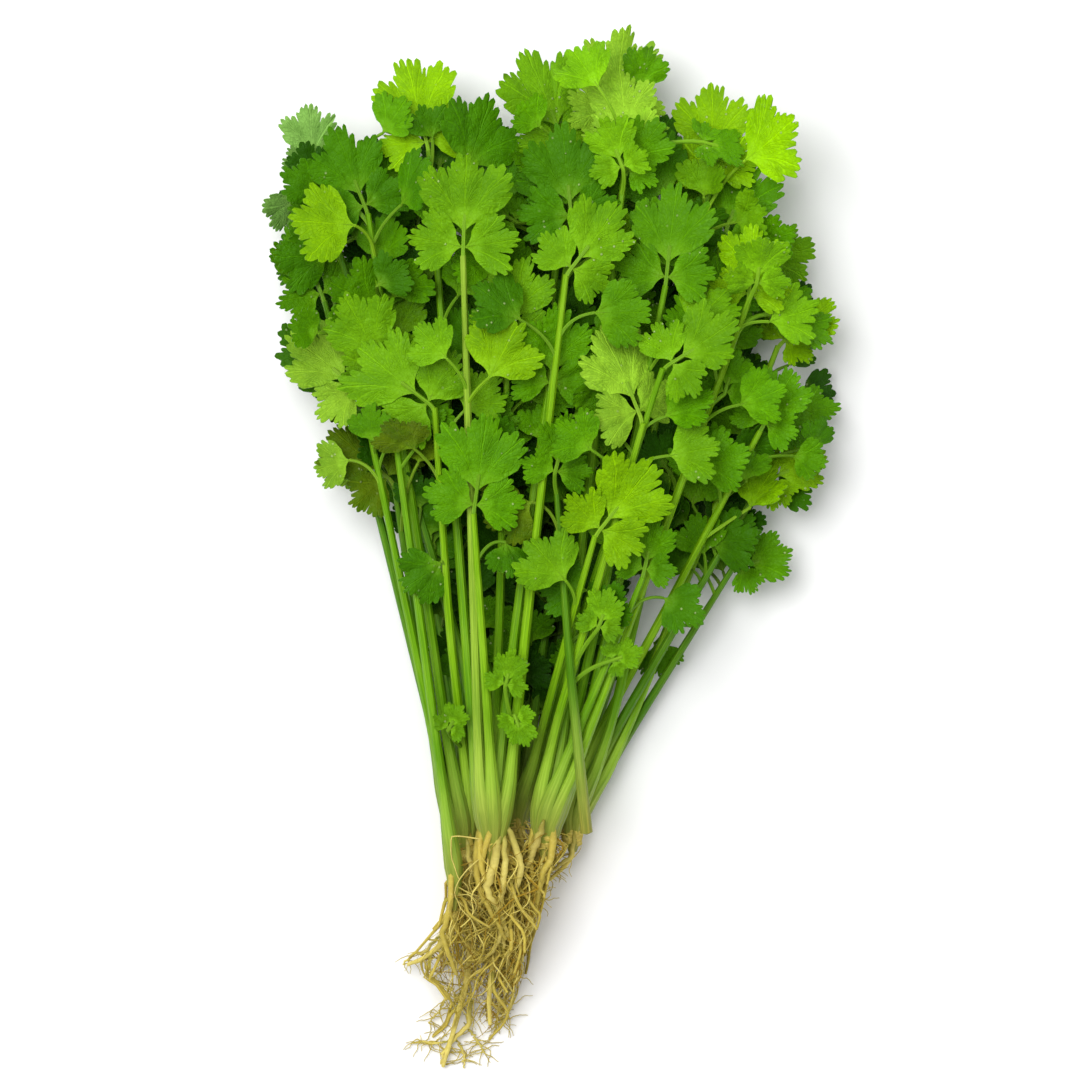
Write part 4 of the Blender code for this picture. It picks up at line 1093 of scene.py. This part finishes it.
def stalk_bend(start, start_along, foot, ahead):
    """The point that bends a leaf's stalk: it leaves the stem along it and meets the blade head on."""
    swing = (foot - start).length * STALK_SWING
    return (start + start_along * swing + foot - ahead * swing) / 2


def leaf_mesh(start, start_along, foot, heading, pitch, roll, length, trio, bend, fold, seed, thickness):
    """A leaf: a stalk that swings from start to foot, then one leaflet, or three on a short rachis."""
    draw = random.Random(seed)
    ahead, left, up = directions(heading, pitch, roll)
    half = thickness / 2
    wide = STALK_HALF_WIDTH
    blade = Blade()

    def row(centre, side, normal):
        return blade.pair(centre - side * wide, normal, half), blade.pair(centre + side * wide, normal, half)

    def leaflet(right_corner, left_corner, base, turned, size, spread, teeth):
        out, across = turned_out(ahead, left, turned)

        def point(u, v):
            lift = bend * u * u / size + fold * abs(v)
            return blade.pair(base + out * u + across * v + up * lift, up, half)

        middle = point(size / 2, 0)
        edge = [right_corner, *(point(u, v) for u, v in leaflet_edge(size, spread, teeth, draw)), left_corner]
        for a, b in zip(edge, edge[1:]):
            blade.skin(middle, a, b)
            blade.wall(a, b)
        blade.skin(middle, left_corner, right_corner)

    # The stalk is a flat strip along its curve.
    control = stalk_bend(start, start_along, foot, ahead)
    halfway = (start + 2 * control + foot) / 4
    rows = []
    for centre, along in ((start, control - start), (halfway, foot - start)):
        side = up.cross(along).normalized()
        rows.append(row(centre, side, along.cross(side).normalized()))
    rows.append(row(foot, left, up))
    blade.wall(rows[0][1], rows[0][0])
    for low, high in zip(rows, rows[1:]):
        blade.wall(low[0], high[0])
        blade.wall(high[1], low[1])

    tip = foot
    if trio:
        after_joint = row(foot + ahead * 2 * wide, left, up)
        tip = foot + ahead * RACHIS_SHARE * length
        middle = foot + ahead * wide
        joint = rows[-1]
        for corners, side in (((joint[0], after_joint[0]), -1), ((after_joint[1], joint[1]), 1)):
            leaflet(*corners, middle + side * left * wide, side * SIDE_LEAFLET_TURN,
                    SIDE_LEAFLET_SHARE * length, SIDE_LEAFLET_SPREAD, OTHER_LEAFLET_TEETH)
        rows += [after_joint, row(tip, left, up)]
        blade.wall(after_joint[0], rows[-1][0])
        blade.wall(rows[-1][1], after_joint[1])
    for low, high in zip(rows, rows[1:]):
        blade.strip(low, high)
    teeth = END_LEAFLET_TEETH if trio else OTHER_LEAFLET_TEETH
    leaflet(*rows[-1], tip, 0, length, LEAFLET_SPREAD, teeth)
    return blade.corners, blade.faces


def tip_leaf(k, line):
    """A stem's tip leaf as the table has it, of three leaflets."""
    heading, length, pitch, roll = STEMS[k][2]
    angle = math.radians(heading)
    foot = line[-1] + TIP_LEAF_REACH * Vector((math.cos(angle), math.sin(angle), 0))
    start = at_level(line, line[-1].y - TIP_LEAF_REACH)
    return dict(start=start, foot=foot, heading=heading, length=length, pitch=pitch, roll=roll, trio=True)


def side_leaf(k, number, line, draw):
    """A stem's side leaf as the table has it, of one leaflet, tilted unless it lies on the surface."""
    leave, x, y, rise, heading, length = STEMS[k][3][number]
    start = at_level(line, leave)
    if (k, number) in FLAT_LEAVES:
        foot, pitch, roll = Vector((x, y, BLADE_THICKNESS / 2)), 0, 0
    else:
        foot = Vector((x, y, start.z + rise))
        pitch, roll = draw.uniform(*SIDE_LEAF_PITCH), draw.uniform(*SIDE_LEAF_ROLL)
    return dict(start=start, foot=foot, heading=heading, length=length, pitch=pitch, roll=roll, trio=False)


def fitted(owner, wanted, changes, obstacles, thickness=BLADE_THICKNESS, room=BLADE_ROOM, inside=None):
    """The first change of a leaf that stays in the bunch's box and clear of all in place, or None."""
    for size, rise, (pitch, roll, heading) in changes:
        angle = math.radians(wanted["heading"])
        shift = Vector((abs(rise) / 2 * math.cos(angle), abs(rise) / 2 * math.sin(angle), rise))
        pose = dict(wanted, foot=wanted["foot"] + shift, heading=wanted["heading"] + heading,
                    length=wanted["length"] * size, pitch=wanted["pitch"] + pitch, roll=wanted["roll"] + roll)
        corners, faces = leaf_mesh(thickness=thickness, **pose)
        low, high = np.min(corners, 0), np.max(corners, 0)
        too_low = low[0] < BUNCH_LEFT or low[2] < -ROUNDING
        if too_low or (high > (BUNCH_RIGHT, BUNCH_TOP, BUNCH_HEIGHT)).any():
            continue
        if inside and not all(inside(corner.x, corner.y) for corner in corners[::6]):
            continue
        roomy = leaf_mesh(thickness=room, **pose)
        if not obstacles.hit(*roomy, spare=(owner[0], "stalk")):
            obstacles.add(owner, corners, faces)
            return pose
    return None


def place_leaves(stems, obstacles):
    """Every leaf's pose, by stem. The tip leaves come first, because each stem keeps its own."""
    poses = {k: [] for k in range(len(stems))}
    order = [(k, "tip") for k in poses] + [(k, i) for k in poses for i in range(len(STEMS[k][3]))]
    for k, number in order:
        line = stems[k]
        draw = random.Random(f"{k} {number}")
        wanted = tip_leaf(k, line) if number == "tip" else side_leaf(k, number, line, draw)
        sizes, rises, turns = (TIP_LEAF_SIZES if number == "tip" else SIDE_LEAF_SIZES), RISES, TURNS
        bend, fold = draw.uniform(*BLADE_BEND), draw.uniform(*BLADE_FOLD)
        if (k, number) in FLAT_LEAVES:
            rises, turns = RISES[:1], TURNS[:1]
            bend = fold = 0
        leave = wanted["start"].y
        along = (at_level(line, leave + LEVEL_STEP) - at_level(line, leave - LEVEL_STEP)).normalized()
        wanted.update(start_along=along, bend=bend, fold=fold, seed=f"edge {k} {number}")
        changes = ((size, rise, turn) for size in sizes for rise in rises for turn in turns)
        pose = fitted((k, number), wanted, changes, obstacles)
        if pose:
            poses[k].append(pose)
    return poses


# Each stem's leaves in colour: the tip leaf first, then the side leaves in the order of the table. The tones
# are partly the leaves' own greens and partly painted light and shade: the deep tones of the lowest stems are
# painted shade, and the pale and lime tones of leaves on top are painted light.
LEAF_TONES = [
    "fresh lime fresh", "rich deep", "fresh rich deep", "rich deep rich", "rich olive fresh",
    "olive olive pale", "pale rich pale", "fresh deep olive fresh", "deep lime deep rich",
    "grey grey deep fresh", "lime deep deep rich", "pale fresh deep rich", "pale deep rich",
    "fresh deep rich rich", "lime lime deep rich", "lime rich rich rich", "lime rich rich",
    "rich rich lime", "lime rich rich", "rich rich rich", "lime fresh deep", "rich deep deep",
    "pale rich fresh", "fresh rich rich", "fresh deep rich", "rich rich fresh", "deep rich fresh",
    "rich fresh rich", "rich deep rich olive", "fresh rich rich", "deep deep deep", "deep deep deep",
    "deep deep deep deep", "deep deep deep", "rich rich rich", "deep deep deep",
]
LEAF_COLOURS = {
    "lime": paint(132, 184, 0),
    "fresh": paint(112, 168, 8),
    "rich": paint(90, 150, 0),
    "deep": paint(68, 124, 0),
    "shade": paint(38, 82, 0),
    "olive": paint(98, 122, 8),
    "pale": paint(146, 194, 44),
    "grey": paint(132, 180, 84),
}
UNDERSIDE = paint(112, 156, 62)
UNDERSIDE_SHARE = 0.45
VEIN_GREEN = paint(138, 184, 40)
FOOT_FADE = 0.35
# A fine leaflet's teeth by lobe, the slits between its lobes, and the grid of its blade.
LOBES = (5, 6, 5)
SIDE_LOBES = (4, 5, 4)
TOOTH_WIDTHS = (0.72, 1.28)
TOOTH_HALF_TOP = 0.34
TOOTH_SHOULDER = 0.965
TOOTH_NOTCH = (0.875, 0.925)
LOBE_REACH = (0.9, 1.03)
SLIT_REACH = (0.34, 0.64)
LEAF_RINGS = np.array([0.18, 0.36, 0.54, 0.72, 0.88, 1.0])
LEAF_HALF_THICKNESS = 0.18
LEAF_FLOOR = 0.05
FULLNESS = 1.06
WEDGE = 0.42
RUN_DOWN = 0.3
RUN_DOWN_SPREAD = 0.86
# How the blade waves: its ruffle and its cup as shares of its size, and the pleats between its lobes.
RUFFLE = (0.02, 0.06)
CUP = (-0.06, 0.11)
PLEAT = 0.055
SOFT_CREASE = 0.06
# Its midrib and its stalk.
MIDRIB_SHARE = 0.5
MIDRIB_ROWS = 7
MIDRIB_RADII = (0.42, 0.16)
LEAF_STALK_ROWS = 12
LEAF_STALK_RADII = (0.62, 0.5)
TRIO_STALK = 1.25
LEAF_STALK_SIDES = 7
# The painted light and shade in a leaf's colour: full from this height, painted shade under it by its shade
# share, and painted light towards the top and right of the bunch, as where that starts, how far it runs and
# how much it adds.
LIT_HEIGHT = 44
LIT_TOP = (90, 40, 0.28)
LIT_RIGHT = (35, 30, 0.28)
LEAF_SHADE = 0.24
MORE_SHADE = 0.5


def toothed_edge(lobes, draw):
    """A leaflet's edge, right to left, as shares of its spread and of its length: teeth, lobes and slits."""
    shares, reaches = [-1.1, -1.06], [0.3, 0.56]
    for lobe, teeth in enumerate(lobes):
        widths = np.array([draw.uniform(*TOOTH_WIDTHS) for _ in range(teeth)])
        ends = -1 + 2 / len(lobes) * (lobe + np.concatenate([[0], np.cumsum(widths) / widths.sum()]))
        lobe_reach = draw.uniform(*LOBE_REACH)
        for tooth in range(teeth):
            pitch = ends[tooth + 1] - ends[tooth]
            middle = ends[tooth] + pitch / 2
            on_lobe = 2 * (tooth + 0.5) / teeth - 1
            top = lobe_reach * (1 - 0.2 * middle**2) * (1 - 0.22 * on_lobe**2) * draw.uniform(0.95, 1.03)
            half = TOOTH_HALF_TOP * pitch
            shares += [middle - half, middle + draw.uniform(-0.1, 0.1) * pitch, middle + half]
            reaches += [TOOTH_SHOULDER * top, top, TOOTH_SHOULDER * top]
            if tooth < teeth - 1:
                shares.append(middle + pitch / 2)
                reaches.append(draw.uniform(*TOOTH_NOTCH) * top)
            elif lobe < len(lobes) - 1:
                slit = draw.uniform(*SLIT_REACH)
                wall = 0.45 * top + 0.5 * slit
                shares += [middle + across * pitch for across in (0.36, 0.44, 0.5, 0.56, 0.64)]
                reaches += [0.9 * top, wall, slit, wall, 0.9 * top]
    return np.array(shares + [1.06, 1.1]), np.array(reaches + [0.56, 0.3])


def add_leaflet(skin, foot, out, across, up, size, spread, bend, fold, lobes, lit_leaf_colour, draw):
    """One leaflet: two skins over a fan-shaped grid, closed by a rim, with a midrib under its upper skin."""
    foot, out, across, up = (np.array(v) for v in (foot, out, across, up))
    shares, reaches = toothed_edge(lobes, draw)
    # The blade is wedge-shaped at its foot: it opens out along its length.
    opened = WEDGE + (1 - WEDGE) * LEAF_RINGS**0.8
    angles = math.radians(spread) * shares * opened[:, None]
    waves = draw.choice((2, 3, 3, 4))
    phase = draw.uniform(0, math.tau)
    ruffle = draw.uniform(*RUFFLE)
    cup = draw.uniform(*CUP)
    soft = SOFT_CREASE * size

    def lift(u, v):
        """How far the blade stands over its flat at this place along and across it."""
        crease = fold * (np.sqrt(v * v + soft**2) - soft)
        reach = np.hypot(u, v) / size
        turn = np.arctan2(v, u) / math.radians(spread)
        folds = np.abs(np.sin(turn * math.pi * len(lobes) / 2 + math.pi / 2)) - 0.5
        waved = ruffle * np.sin(waves * turn * 2 + phase) + cup * (0.5 - turn**2)
        return bend * u * u / size + crease + size * reach**2 * waved + PLEAT * size * reach * folds

    radius = size * LEAF_RINGS[:, None] * reaches
    u, v = radius * np.cos(angles), radius * np.sin(angles)
    sheet = foot + u[..., None] * out + v[..., None] * across + lift(u, v)[..., None] * up
    sheet = np.concatenate([(foot - 0.2 * out)[None], sheet.reshape(-1, 3)])
    rings, columns = radius.shape
    count = len(sheet)
    grid = 1 + np.arange(rings * columns).reshape(rings, columns)
    a, b = grid[:-1, :-1].ravel(), grid[1:, :-1].ravel()
    c, d = grid[1:, 1:].ravel(), grid[:-1, 1:].ravel()
    fan = np.column_stack([np.zeros(columns - 1, int), grid[0, :-1], grid[0, 1:]])
    top = np.concatenate([fan, np.column_stack([a, b, c]), np.column_stack([a, c, d])])
    loop = np.concatenate([[0], grid[:, 0], grid[-1, 1:], grid[-2::-1, -1]])
    after = np.roll(loop, -1)
    rim = np.concatenate([np.column_stack([loop, loop + count, after + count]),
                          np.column_stack([loop, after + count, after])])
    faces = np.concatenate([top, top[:, ::-1] + count, rim])
    place = np.column_stack([np.concatenate([[0], np.broadcast_to(shares, radius.shape).ravel()]),
                             np.concatenate([[0], (radius / size).ravel()])])
    place = np.concatenate([place, place])
    colour = lit_leaf_colour * draw.uniform(0.86, 1.1)
    fade = np.clip(1 - place[:count, 1:] / FOOT_FADE, 0, 1) * 0.4
    upper = colour * (1 - fade) + VEIN_GREEN * fade
    lower = upper * (1 - UNDERSIDE_SHARE) + UNDERSIDE * UNDERSIDE_SHARE
    points = np.concatenate([sheet + LEAF_HALF_THICKNESS * up, sheet - LEAF_HALF_THICKNESS * up])
    points[:, 2] = np.maximum(points[:, 2], LEAF_FLOOR)
    skin.add(points, faces, place[faces], np.concatenate([upper, lower]), 0)
    rib_u = np.linspace(-0.6, MIDRIB_SHARE * size, MIDRIB_ROWS)
    rib = foot + rib_u[:, None] * out + (lift(rib_u, 0 * rib_u) - 0.1)[:, None] * up
    rib_tints = np.linspace(1, 0, MIDRIB_ROWS)[:, None] * (VEIN_GREEN - upper[-1]) * 0.8 + upper[-1]
    add_bar(skin, rib, np.linspace(*MIDRIB_RADII, MIDRIB_ROWS), rib_tints, 1, 5)


def part_way(value, start, length):
    """0 up to the start, 1 from the length after it, and even between them."""
    return min(1.0, max(0.0, (value - start) / length))


def add_leaf(skin, pose, tone, draw, shade, lobes, side_lobes):
    """A leaf in its pose: its stalk, and one leaflet, or three on a short rachis."""
    ahead, left, up = directions(pose["heading"], pose["pitch"], pose["roll"])
    start, foot, length = pose["start"], pose["foot"], pose["length"]
    full = FULLNESS * length
    control = stalk_bend(start, pose["start_along"], foot, ahead)
    shares = np.linspace(0, 1, LEAF_STALK_ROWS)
    path = [start * (1 - t) ** 2 + control * (2 * t * (1 - t)) + foot * t * t for t in shares]
    tip = foot
    if pose["trio"]:
        tip = foot + ahead * RACHIS_SHARE * length
        path += [foot.lerp(tip, t) for t in (0.25, 0.5, 0.75, 1)]
    # The leaf's colour is painted darker the lower it lies, as painted shade, and lighter towards the top and
    # right of the bunch, as painted light.
    lit = 1 - shade + shade * part_way(foot.z, 0, LIT_HEIGHT)
    more_at_top, more_at_right = (
        gain * part_way(place, start_at, length_of) for place, (start_at, length_of, gain)
        in ((foot.y, LIT_TOP), (foot.x, LIT_RIGHT))
    )
    lit *= 1 + more_at_top + more_at_right
    lit_leaf_colour = LEAF_COLOURS[tone] * lit
    stalk_colour = lit_leaf_colour * 0.55 + VEIN_GREEN * 0.45 * lit
    radii = np.linspace(*LEAF_STALK_RADII, len(path)) * (TRIO_STALK if pose["trio"] else 1.0)
    add_bar(skin, [np.array(point) for point in path], radii, stalk_colour, 1, LEAF_STALK_SIDES)
    waves = (pose["bend"], pose["fold"])
    if pose["trio"]:
        for side in (-1, 1):
            out, across = turned_out(ahead, left, side * SIDE_LEAFLET_TURN)
            base = foot + ahead * STALK_HALF_WIDTH + side * left * 0.3
            add_leaflet(skin, base, out, across, up, SIDE_LEAFLET_SHARE * full, SIDE_LEAFLET_SPREAD, *waves,
                        side_lobes, lit_leaf_colour, draw)
        # The end leaflet's blade runs down its stalk as a narrow wedge.
        run_down = RUN_DOWN * length
        add_leaflet(skin, tip - ahead * run_down, ahead, left, up, full + run_down,
                    LEAFLET_SPREAD * RUN_DOWN_SPREAD, *waves, lobes, lit_leaf_colour, draw)
    else:
        add_leaflet(skin, tip, ahead, left, up, full, LEAFLET_SPREAD, *waves, lobes, lit_leaf_colour, draw)


def leaf_material():
    """Leaf green: veins that fan out from the foot and branch to the teeth, a fine net and a satin gloss."""
    green = Finish("leaf_green", roughness=0.5, ior=1.4, specular_ior_level=0.11)
    # The place is the share of the leaflet's spread, from -1 to 1, and the share of its length.
    tint, turn, reach = green.tint_and_place()
    where = green.node("ShaderNodeTexCoord", output="Object")
    warp = green.noise(260, 2) - 0.5
    off_middle = green.math("PINGPONG", turn * 1.5 + warp * 0.1, 0.5)
    main = 1 - (off_middle * reach).within(0.006, 0.024)
    opening = reach.within(0.05, 1.0) + 0.04
    branch = green.math("PINGPONG", off_middle / opening + warp * 0.1 - 0.125, 0.125)
    side = 1 - (branch * opening * reach).within(0.003, 0.016)
    cells = green.node("ShaderNodeTexVoronoi", {"feature": "DISTANCE_TO_EDGE"},
                       {"Vector": where, "Scale": 800}, "Distance")
    net = 1 - cells.within(0.0, 0.16)
    veins = green.math("MAXIMUM", main, side * 0.55)
    blotch = green.noise(120, 3).within(0.3, 0.7)
    grain = green.noise(900, 2).within(0.3, 0.7)
    dark = green.mix(0.5, tint, (0.03, 0.13, 0.002))
    light = green.mix(0.3, tint, tint, "ADD")
    colour = green.mix(blotch * 0.75 + grain * 0.2, dark, tint)
    colour = green.mix(net * 0.35, colour, dark)
    colour = green.mix(veins * 0.62, colour, light)
    # Specks of water are left from the wash, in patches. Their pale colour is a painted highlight, and their
    # gloss and bump are the water's own.
    drops = green.node("ShaderNodeTexVoronoi", {"feature": "F1"}, {"Vector": where, "Scale": 330}, "Distance")
    water_and_glint = (1 - drops.within(0.1, 0.16)) * green.noise(45, 1).within(0.5, 0.6)
    colour = green.mix(water_and_glint * 0.45, colour, (0.62, 0.78, 0.32))
    green.feed(base_color=colour, roughness=(0.56 - grain * 0.16 - veins * 0.08) * (1 - water_and_glint * 0.7))
    # The blade is crumpled between its veins, which lie in furrows.
    crumple = green.noise(170, 2, 0.6)
    green.bump(veins * -0.6 - net * 0.25 + green.noise(420, 2) + water_and_glint * 1.5 + crumple * 5, 0.00035, 0.9)
    return green.material


leaf_green = leaf_material()
poses = place_leaves(stems, obstacles)

# The smaller leaves between them, which close the bunch. The canopy's edge is seen from above, and its two
# gaps are told as x, y, half width and half height.
CANOPY = [
    (-45, -14), (-47, 4), (-52, 16), (-64, 22), (-68, 26), (-60, 34), (-64, 44), (-76, 48), (-86, 62),
    (-84, 74), (-76, 78), (-86, 90), (-88, 96), (-76, 100), (-86, 110), (-84, 116), (-76, 132), (-62, 132),
    (-56, 124), (-46, 118), (-50, 138), (-57, 142), (-52, 154), (-34, 154), (-30, 138), (-20, 138),
    (-18, 128), (-11, 128), (-8, 148), (8, 152), (10, 162), (26, 166), (34, 158), (35, 146), (34, 130),
    (36, 118), (42, 130), (44, 142), (58, 144), (60, 134), (62, 120), (58, 112), (66, 104), (78, 98),
    (72, 86), (84, 80), (90, 70), (86, 56), (89, 46), (86, 32), (84, 18), (74, 16), (66, 22), (68, 2),
    (66, -8), (56, -12), (46, -10), (42, -6), (26, -7), (24, -16), (23, -34), (16, -46), (6, -54), (-8, -56),
    (-20, -52), (-32, -44), (-40, -28),
]
CANOPY_GAPS = ((66, 64, 7, 8), (73.5, 36, 4, 5))
CANOPY_CELL = 3.5
DOWN = Vector((0, 0, -1))
CANOPY_LEFT = -88
CANOPY_BOTTOM = -56
MORE_LENGTH = (12, 17)
MORE_TRIO_LENGTH = (10, 13)
MORE_TRIO_SHARE = 0.4
MORE_TRIO_FROM = 20
MORE_FOLDED_SHARE = 0.25
MORE_FOLD = (0.4, 0.75)
MORE_PITCH = (-16, 24)
MORE_ROLL = (-28, 28)
MORE_THICKNESS = 0.5
MORE_ROOM = 0.6
MORE_LOBES = (4, 4, 4)
MORE_SIDE_LOBES = (3, 4, 3)
MORE_ROUNDS = 2
MORE_CHANGES = [
    (size, rise, turn) for size in (1.0, 0.78) for rise in (0, -3, 3, -6, 6, -10)
    for turn in ((0, 0, 0), (14, 18, 25), (-10, -18, -25))
]
# Where their stalks leave a stem: how far below the leaf, how far they reach, and no lower than this.
MORE_LEAVE = (6, 14)
MORE_REACH = (6, 34)
MORE_LOWEST = -72
# The height that these leaves stay under, by y: lowest where the stalks show between the leaves.
MORE_CEILING = ((-40, 5), (-20, 8), (0, 12), (25, 22), (50, 34), (90, 44), (130, 46))
# Their tones, by the height that they are below, are painted shade: the lower a leaf, the darker its tone.
# Those at the right and low among the stalks are seen best, and get as little painted shade as if they lay
# higher.
MORE_SHADE_TONES = (
    (16, ("shade",)),
    (28, ("deep", "shade")),
    (40, ("deep", "rich", "rich")),
    (99, ("rich", "fresh")),
)
RIGHT_EDGE = 45
RIGHT_LIFT = 12
STALKS_EDGE = -16
STALKS_LIFT = 16

# Small bright leaves that stand among the stalks: the stem, the y where each leaves it, its foot, its heading
# and its length.
LOW_LEAVES = [
    (24, -56, (-15, -42, 41), 75, 8),
    (24, -62, (-12, -51, 40), 290, 7),
    (22, -36, (14, -24, 41), 70, 9),
    (22, -46, (18, -34, 38), 20, 7),
    (7, -62, (-33, -56, 30), 60, 6.5),
    (21, -52, (5, -44, 38), 110, 6.5),
]


def in_canopy(x, y):
    """Whether a point seen from above is inside the canopy's edge and outside its gaps."""
    if any(((x - gx) / w) ** 2 + ((y - gy) / h) ** 2 < 1 for gx, gy, w, h in CANOPY_GAPS):
        return False
    inside = False
    for (ax, ay), (bx, by) in zip(CANOPY, CANOPY[1:] + CANOPY[:1]):
        if (ay > y) != (by > y) and x < ax + (y - ay) / (by - ay) * (bx - ax):
            inside = not inside
    return inside


def open_places(obstacles):
    """The places in the canopy where one looks down past every leaf, on a grid of cells."""
    leaves = [kept for kept in obstacles.kept if kept[0][1] != "stalk"]
    found = []
    for x in np.arange(CANOPY_LEFT, BUNCH_RIGHT, CANOPY_CELL):
        for y in np.arange(CANOPY_BOTTOM, BUNCH_TOP, CANOPY_CELL):
            if not in_canopy(x, y):
                continue
            above = Vector((x, y, 2 * BUNCH_HEIGHT))
            hidden = any(
                low[0] <= x <= high[0] and low[1] <= y <= high[1] and tree.ray_cast(above, DOWN)[0]
                for _, low, high, tree in leaves
            )
            if not hidden:
                found.append((float(x), float(y)))
    return found


def place_more_leaves(stems, obstacles):
    """Small leaves of one leaflet over the open places, each on a stalk from a stem close below."""
    placed = {k: [] for k in range(len(stems))}
    draw = random.Random("more leaves")
    for turn in range(MORE_ROUNDS):
        places = open_places(obstacles)
        draw.shuffle(places)
        for x, y in places:
            near = []
            for k, line in enumerate(stems):
                leave = min(y - draw.uniform(*MORE_LEAVE), line[-1].y - 4)
                start = at_level(line, leave)
                reach = math.hypot(x - start.x, y - start.y)
                if MORE_REACH[0] < reach < MORE_REACH[1] and leave > MORE_LOWEST:
                    near.append((reach + 0.5 * start.z + draw.uniform(0, 12), k, start))
            trio = draw.random() < MORE_TRIO_SHARE and y > MORE_TRIO_FROM
            length = draw.uniform(*(MORE_TRIO_LENGTH if trio else MORE_LENGTH))
            ceiling = np.interp(y, *zip(*MORE_CEILING))
            for _, k, start in sorted(near)[:3]:
                heading = math.degrees(math.atan2(y - start.y, x - start.x)) + draw.uniform(-25, 25)
                angle = math.radians(heading)
                foot = Vector((x - 0.55 * length * math.cos(angle), y - 0.55 * length * math.sin(angle),
                               min(start.z + draw.uniform(-4, 7), ceiling)))
                folded = draw.random() < MORE_FOLDED_SHARE and not trio
                wanted = dict(start=start, foot=foot, heading=heading, length=length, trio=trio,
                              pitch=draw.uniform(*MORE_PITCH), roll=draw.uniform(*MORE_ROLL),
                              start_along=Vector((0, 1, 0)), bend=draw.uniform(*BLADE_BEND),
                              fold=draw.uniform(*(MORE_FOLD if folded else BLADE_FOLD)),
                              seed=f"more {turn} {x:.0f} {y:.0f}")
                owner = (k, f"more {x} {y}")
                pose = fitted(owner, wanted, MORE_CHANGES, obstacles, MORE_THICKNESS, MORE_ROOM, in_canopy)
                if pose:
                    # The tone is painted shade, picked by the foot's height with these lifts.
                    lift = RIGHT_LIFT if x > RIGHT_EDGE else STALKS_LIFT if y < STALKS_EDGE else 0
                    seen = pose["foot"].z + lift
                    tones = next(choice for limit, choice in MORE_SHADE_TONES if seen < limit)
                    placed[k].append((pose, draw.choice(tones)))
                    break
    return placed


def place_low_leaves(stems, obstacles, placed):
    """The small leaves among the stalks, where each finds room next to its place."""
    for k, leave, foot, heading, length in LOW_LEAVES:
        wanted = dict(start=at_level(stems[k], leave), foot=Vector(foot), heading=heading, length=length,
                      trio=True, pitch=8, roll=-10, start_along=Vector((0, 1, 0)), bend=0.1, fold=0.12,
                      seed=f"low {k} {leave}")
        pose = fitted((k, f"low {leave}"), wanted, MORE_CHANGES, obstacles, MORE_THICKNESS, MORE_ROOM)
        if pose:
            placed[k].append((pose, "fresh"))


more_poses = place_more_leaves(stems, obstacles)
place_low_leaves(stems, obstacles, more_poses)
shaded_stalks = low_stalks(stems)
for k, line in enumerate(stems):
    skin = Skin()
    add_stalk(skin, k, line)
    for beside, points, radius in shaded_stalks:
        if beside == k:
            radii = radius * np.linspace(*LOW_STALK_TAPER, len(points))
            tint = STALK_GREENS["dark"] * LOW_STALK_SHADE
            add_bar(skin, points, radii, tint, 1, STALK_SIDES, STALK_RIBS, STALK_RIB_DEPTH)
    for number, (pose, tone) in enumerate(zip(poses[k], LEAF_TONES[k].split())):
        draw = random.Random(f"leaf {k} {number}")
        add_leaf(skin, pose, tone, draw, LEAF_SHADE, LOBES, SIDE_LOBES)
    for pose, tone in more_poses[k]:
        draw = random.Random(f"more {k} {pose['foot'].x:.1f} {pose['foot'].y:.1f}")
        add_leaf(skin, pose, tone, draw, MORE_SHADE, MORE_LOBES, MORE_SIDE_LOBES)
    name = f"leafy_stem_{k + 1:02d}"
    stem_piece = skin.piece(f"fine_{name}", [leaf_green, stalk_rind])
    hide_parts(name)
    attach(stem_piece, "root")

# Surface, light and camera
# The bunch lies on a plain white surface under broad soft lamps, and is seen from straight above.

FLOOR_HALF = 3.0
FLOOR_DEPTH = 0.0001
floor_corners = [(side * FLOOR_HALF, end * FLOOR_HALF, -FLOOR_DEPTH)
                 for side, end in ((-1, -1), (1, -1), (1, 1), (-1, 1))]
floor_mesh = bpy.data.meshes.new("surface")
floor_mesh.from_pydata(floor_corners, [], [(0, 1, 2, 3)])
floor = bpy.data.objects.new("surface", floor_mesh)
bpy.context.scene.collection.objects.link(floor)
floor_white = Finish("surface_white", roughness=0.9, base_color=(0.96, 0.96, 0.96, 1))
floor_mesh.materials.append(floor_white.material)

DAYLIGHT = 0.42
world = bpy.data.worlds.new("studio")
world.use_nodes = True
backdrop = world.node_tree.nodes["Background"]
backdrop.inputs["Color"].default_value = (1, 1, 1, 1)
backdrop.inputs["Strength"].default_value = DAYLIGHT
bpy.context.scene.world = world

# Each lamp: where it stands, its width and its power in watts. All point at the bunch.
for name, place, width, power in (
    ("lamp_above", (-0.45, 0.45, 1.55), 1.1, 25),
    ("lamp_left", (-1.3, -0.1, 0.9), 0.9, 4),
    ("lamp_right", (1.2, 0.4, 1.1), 1.0, 4),
):
    data = bpy.data.lights.new(name, "AREA")
    data.size = width
    data.energy = power
    lamp = bpy.data.objects.new(name, data)
    lamp.location = place
    lamp.rotation_euler = (-Vector(place)).to_track_quat("-Z", "Y").to_euler()
    bpy.context.scene.collection.objects.link(lamp)

# The photograph's frame: its centre at the leaves' height, and its width there.
PHOTO_CENTRE = Vector((-0.0041, 0.0038, 0.03))
PHOTO_WIDTH = 0.339
LENS = 200
SENSOR = 36
camera_data = bpy.data.cameras.new("camera")
camera_data.lens = LENS
camera_data.sensor_width = SENSOR
camera = bpy.data.objects.new("camera", camera_data)
camera.location = PHOTO_CENTRE + Vector((0, 0, PHOTO_WIDTH * LENS / SENSOR))
bpy.context.scene.collection.objects.link(camera)
bpy.context.scene.camera = camera
bpy.context.scene.view_settings.view_transform = "Standard"
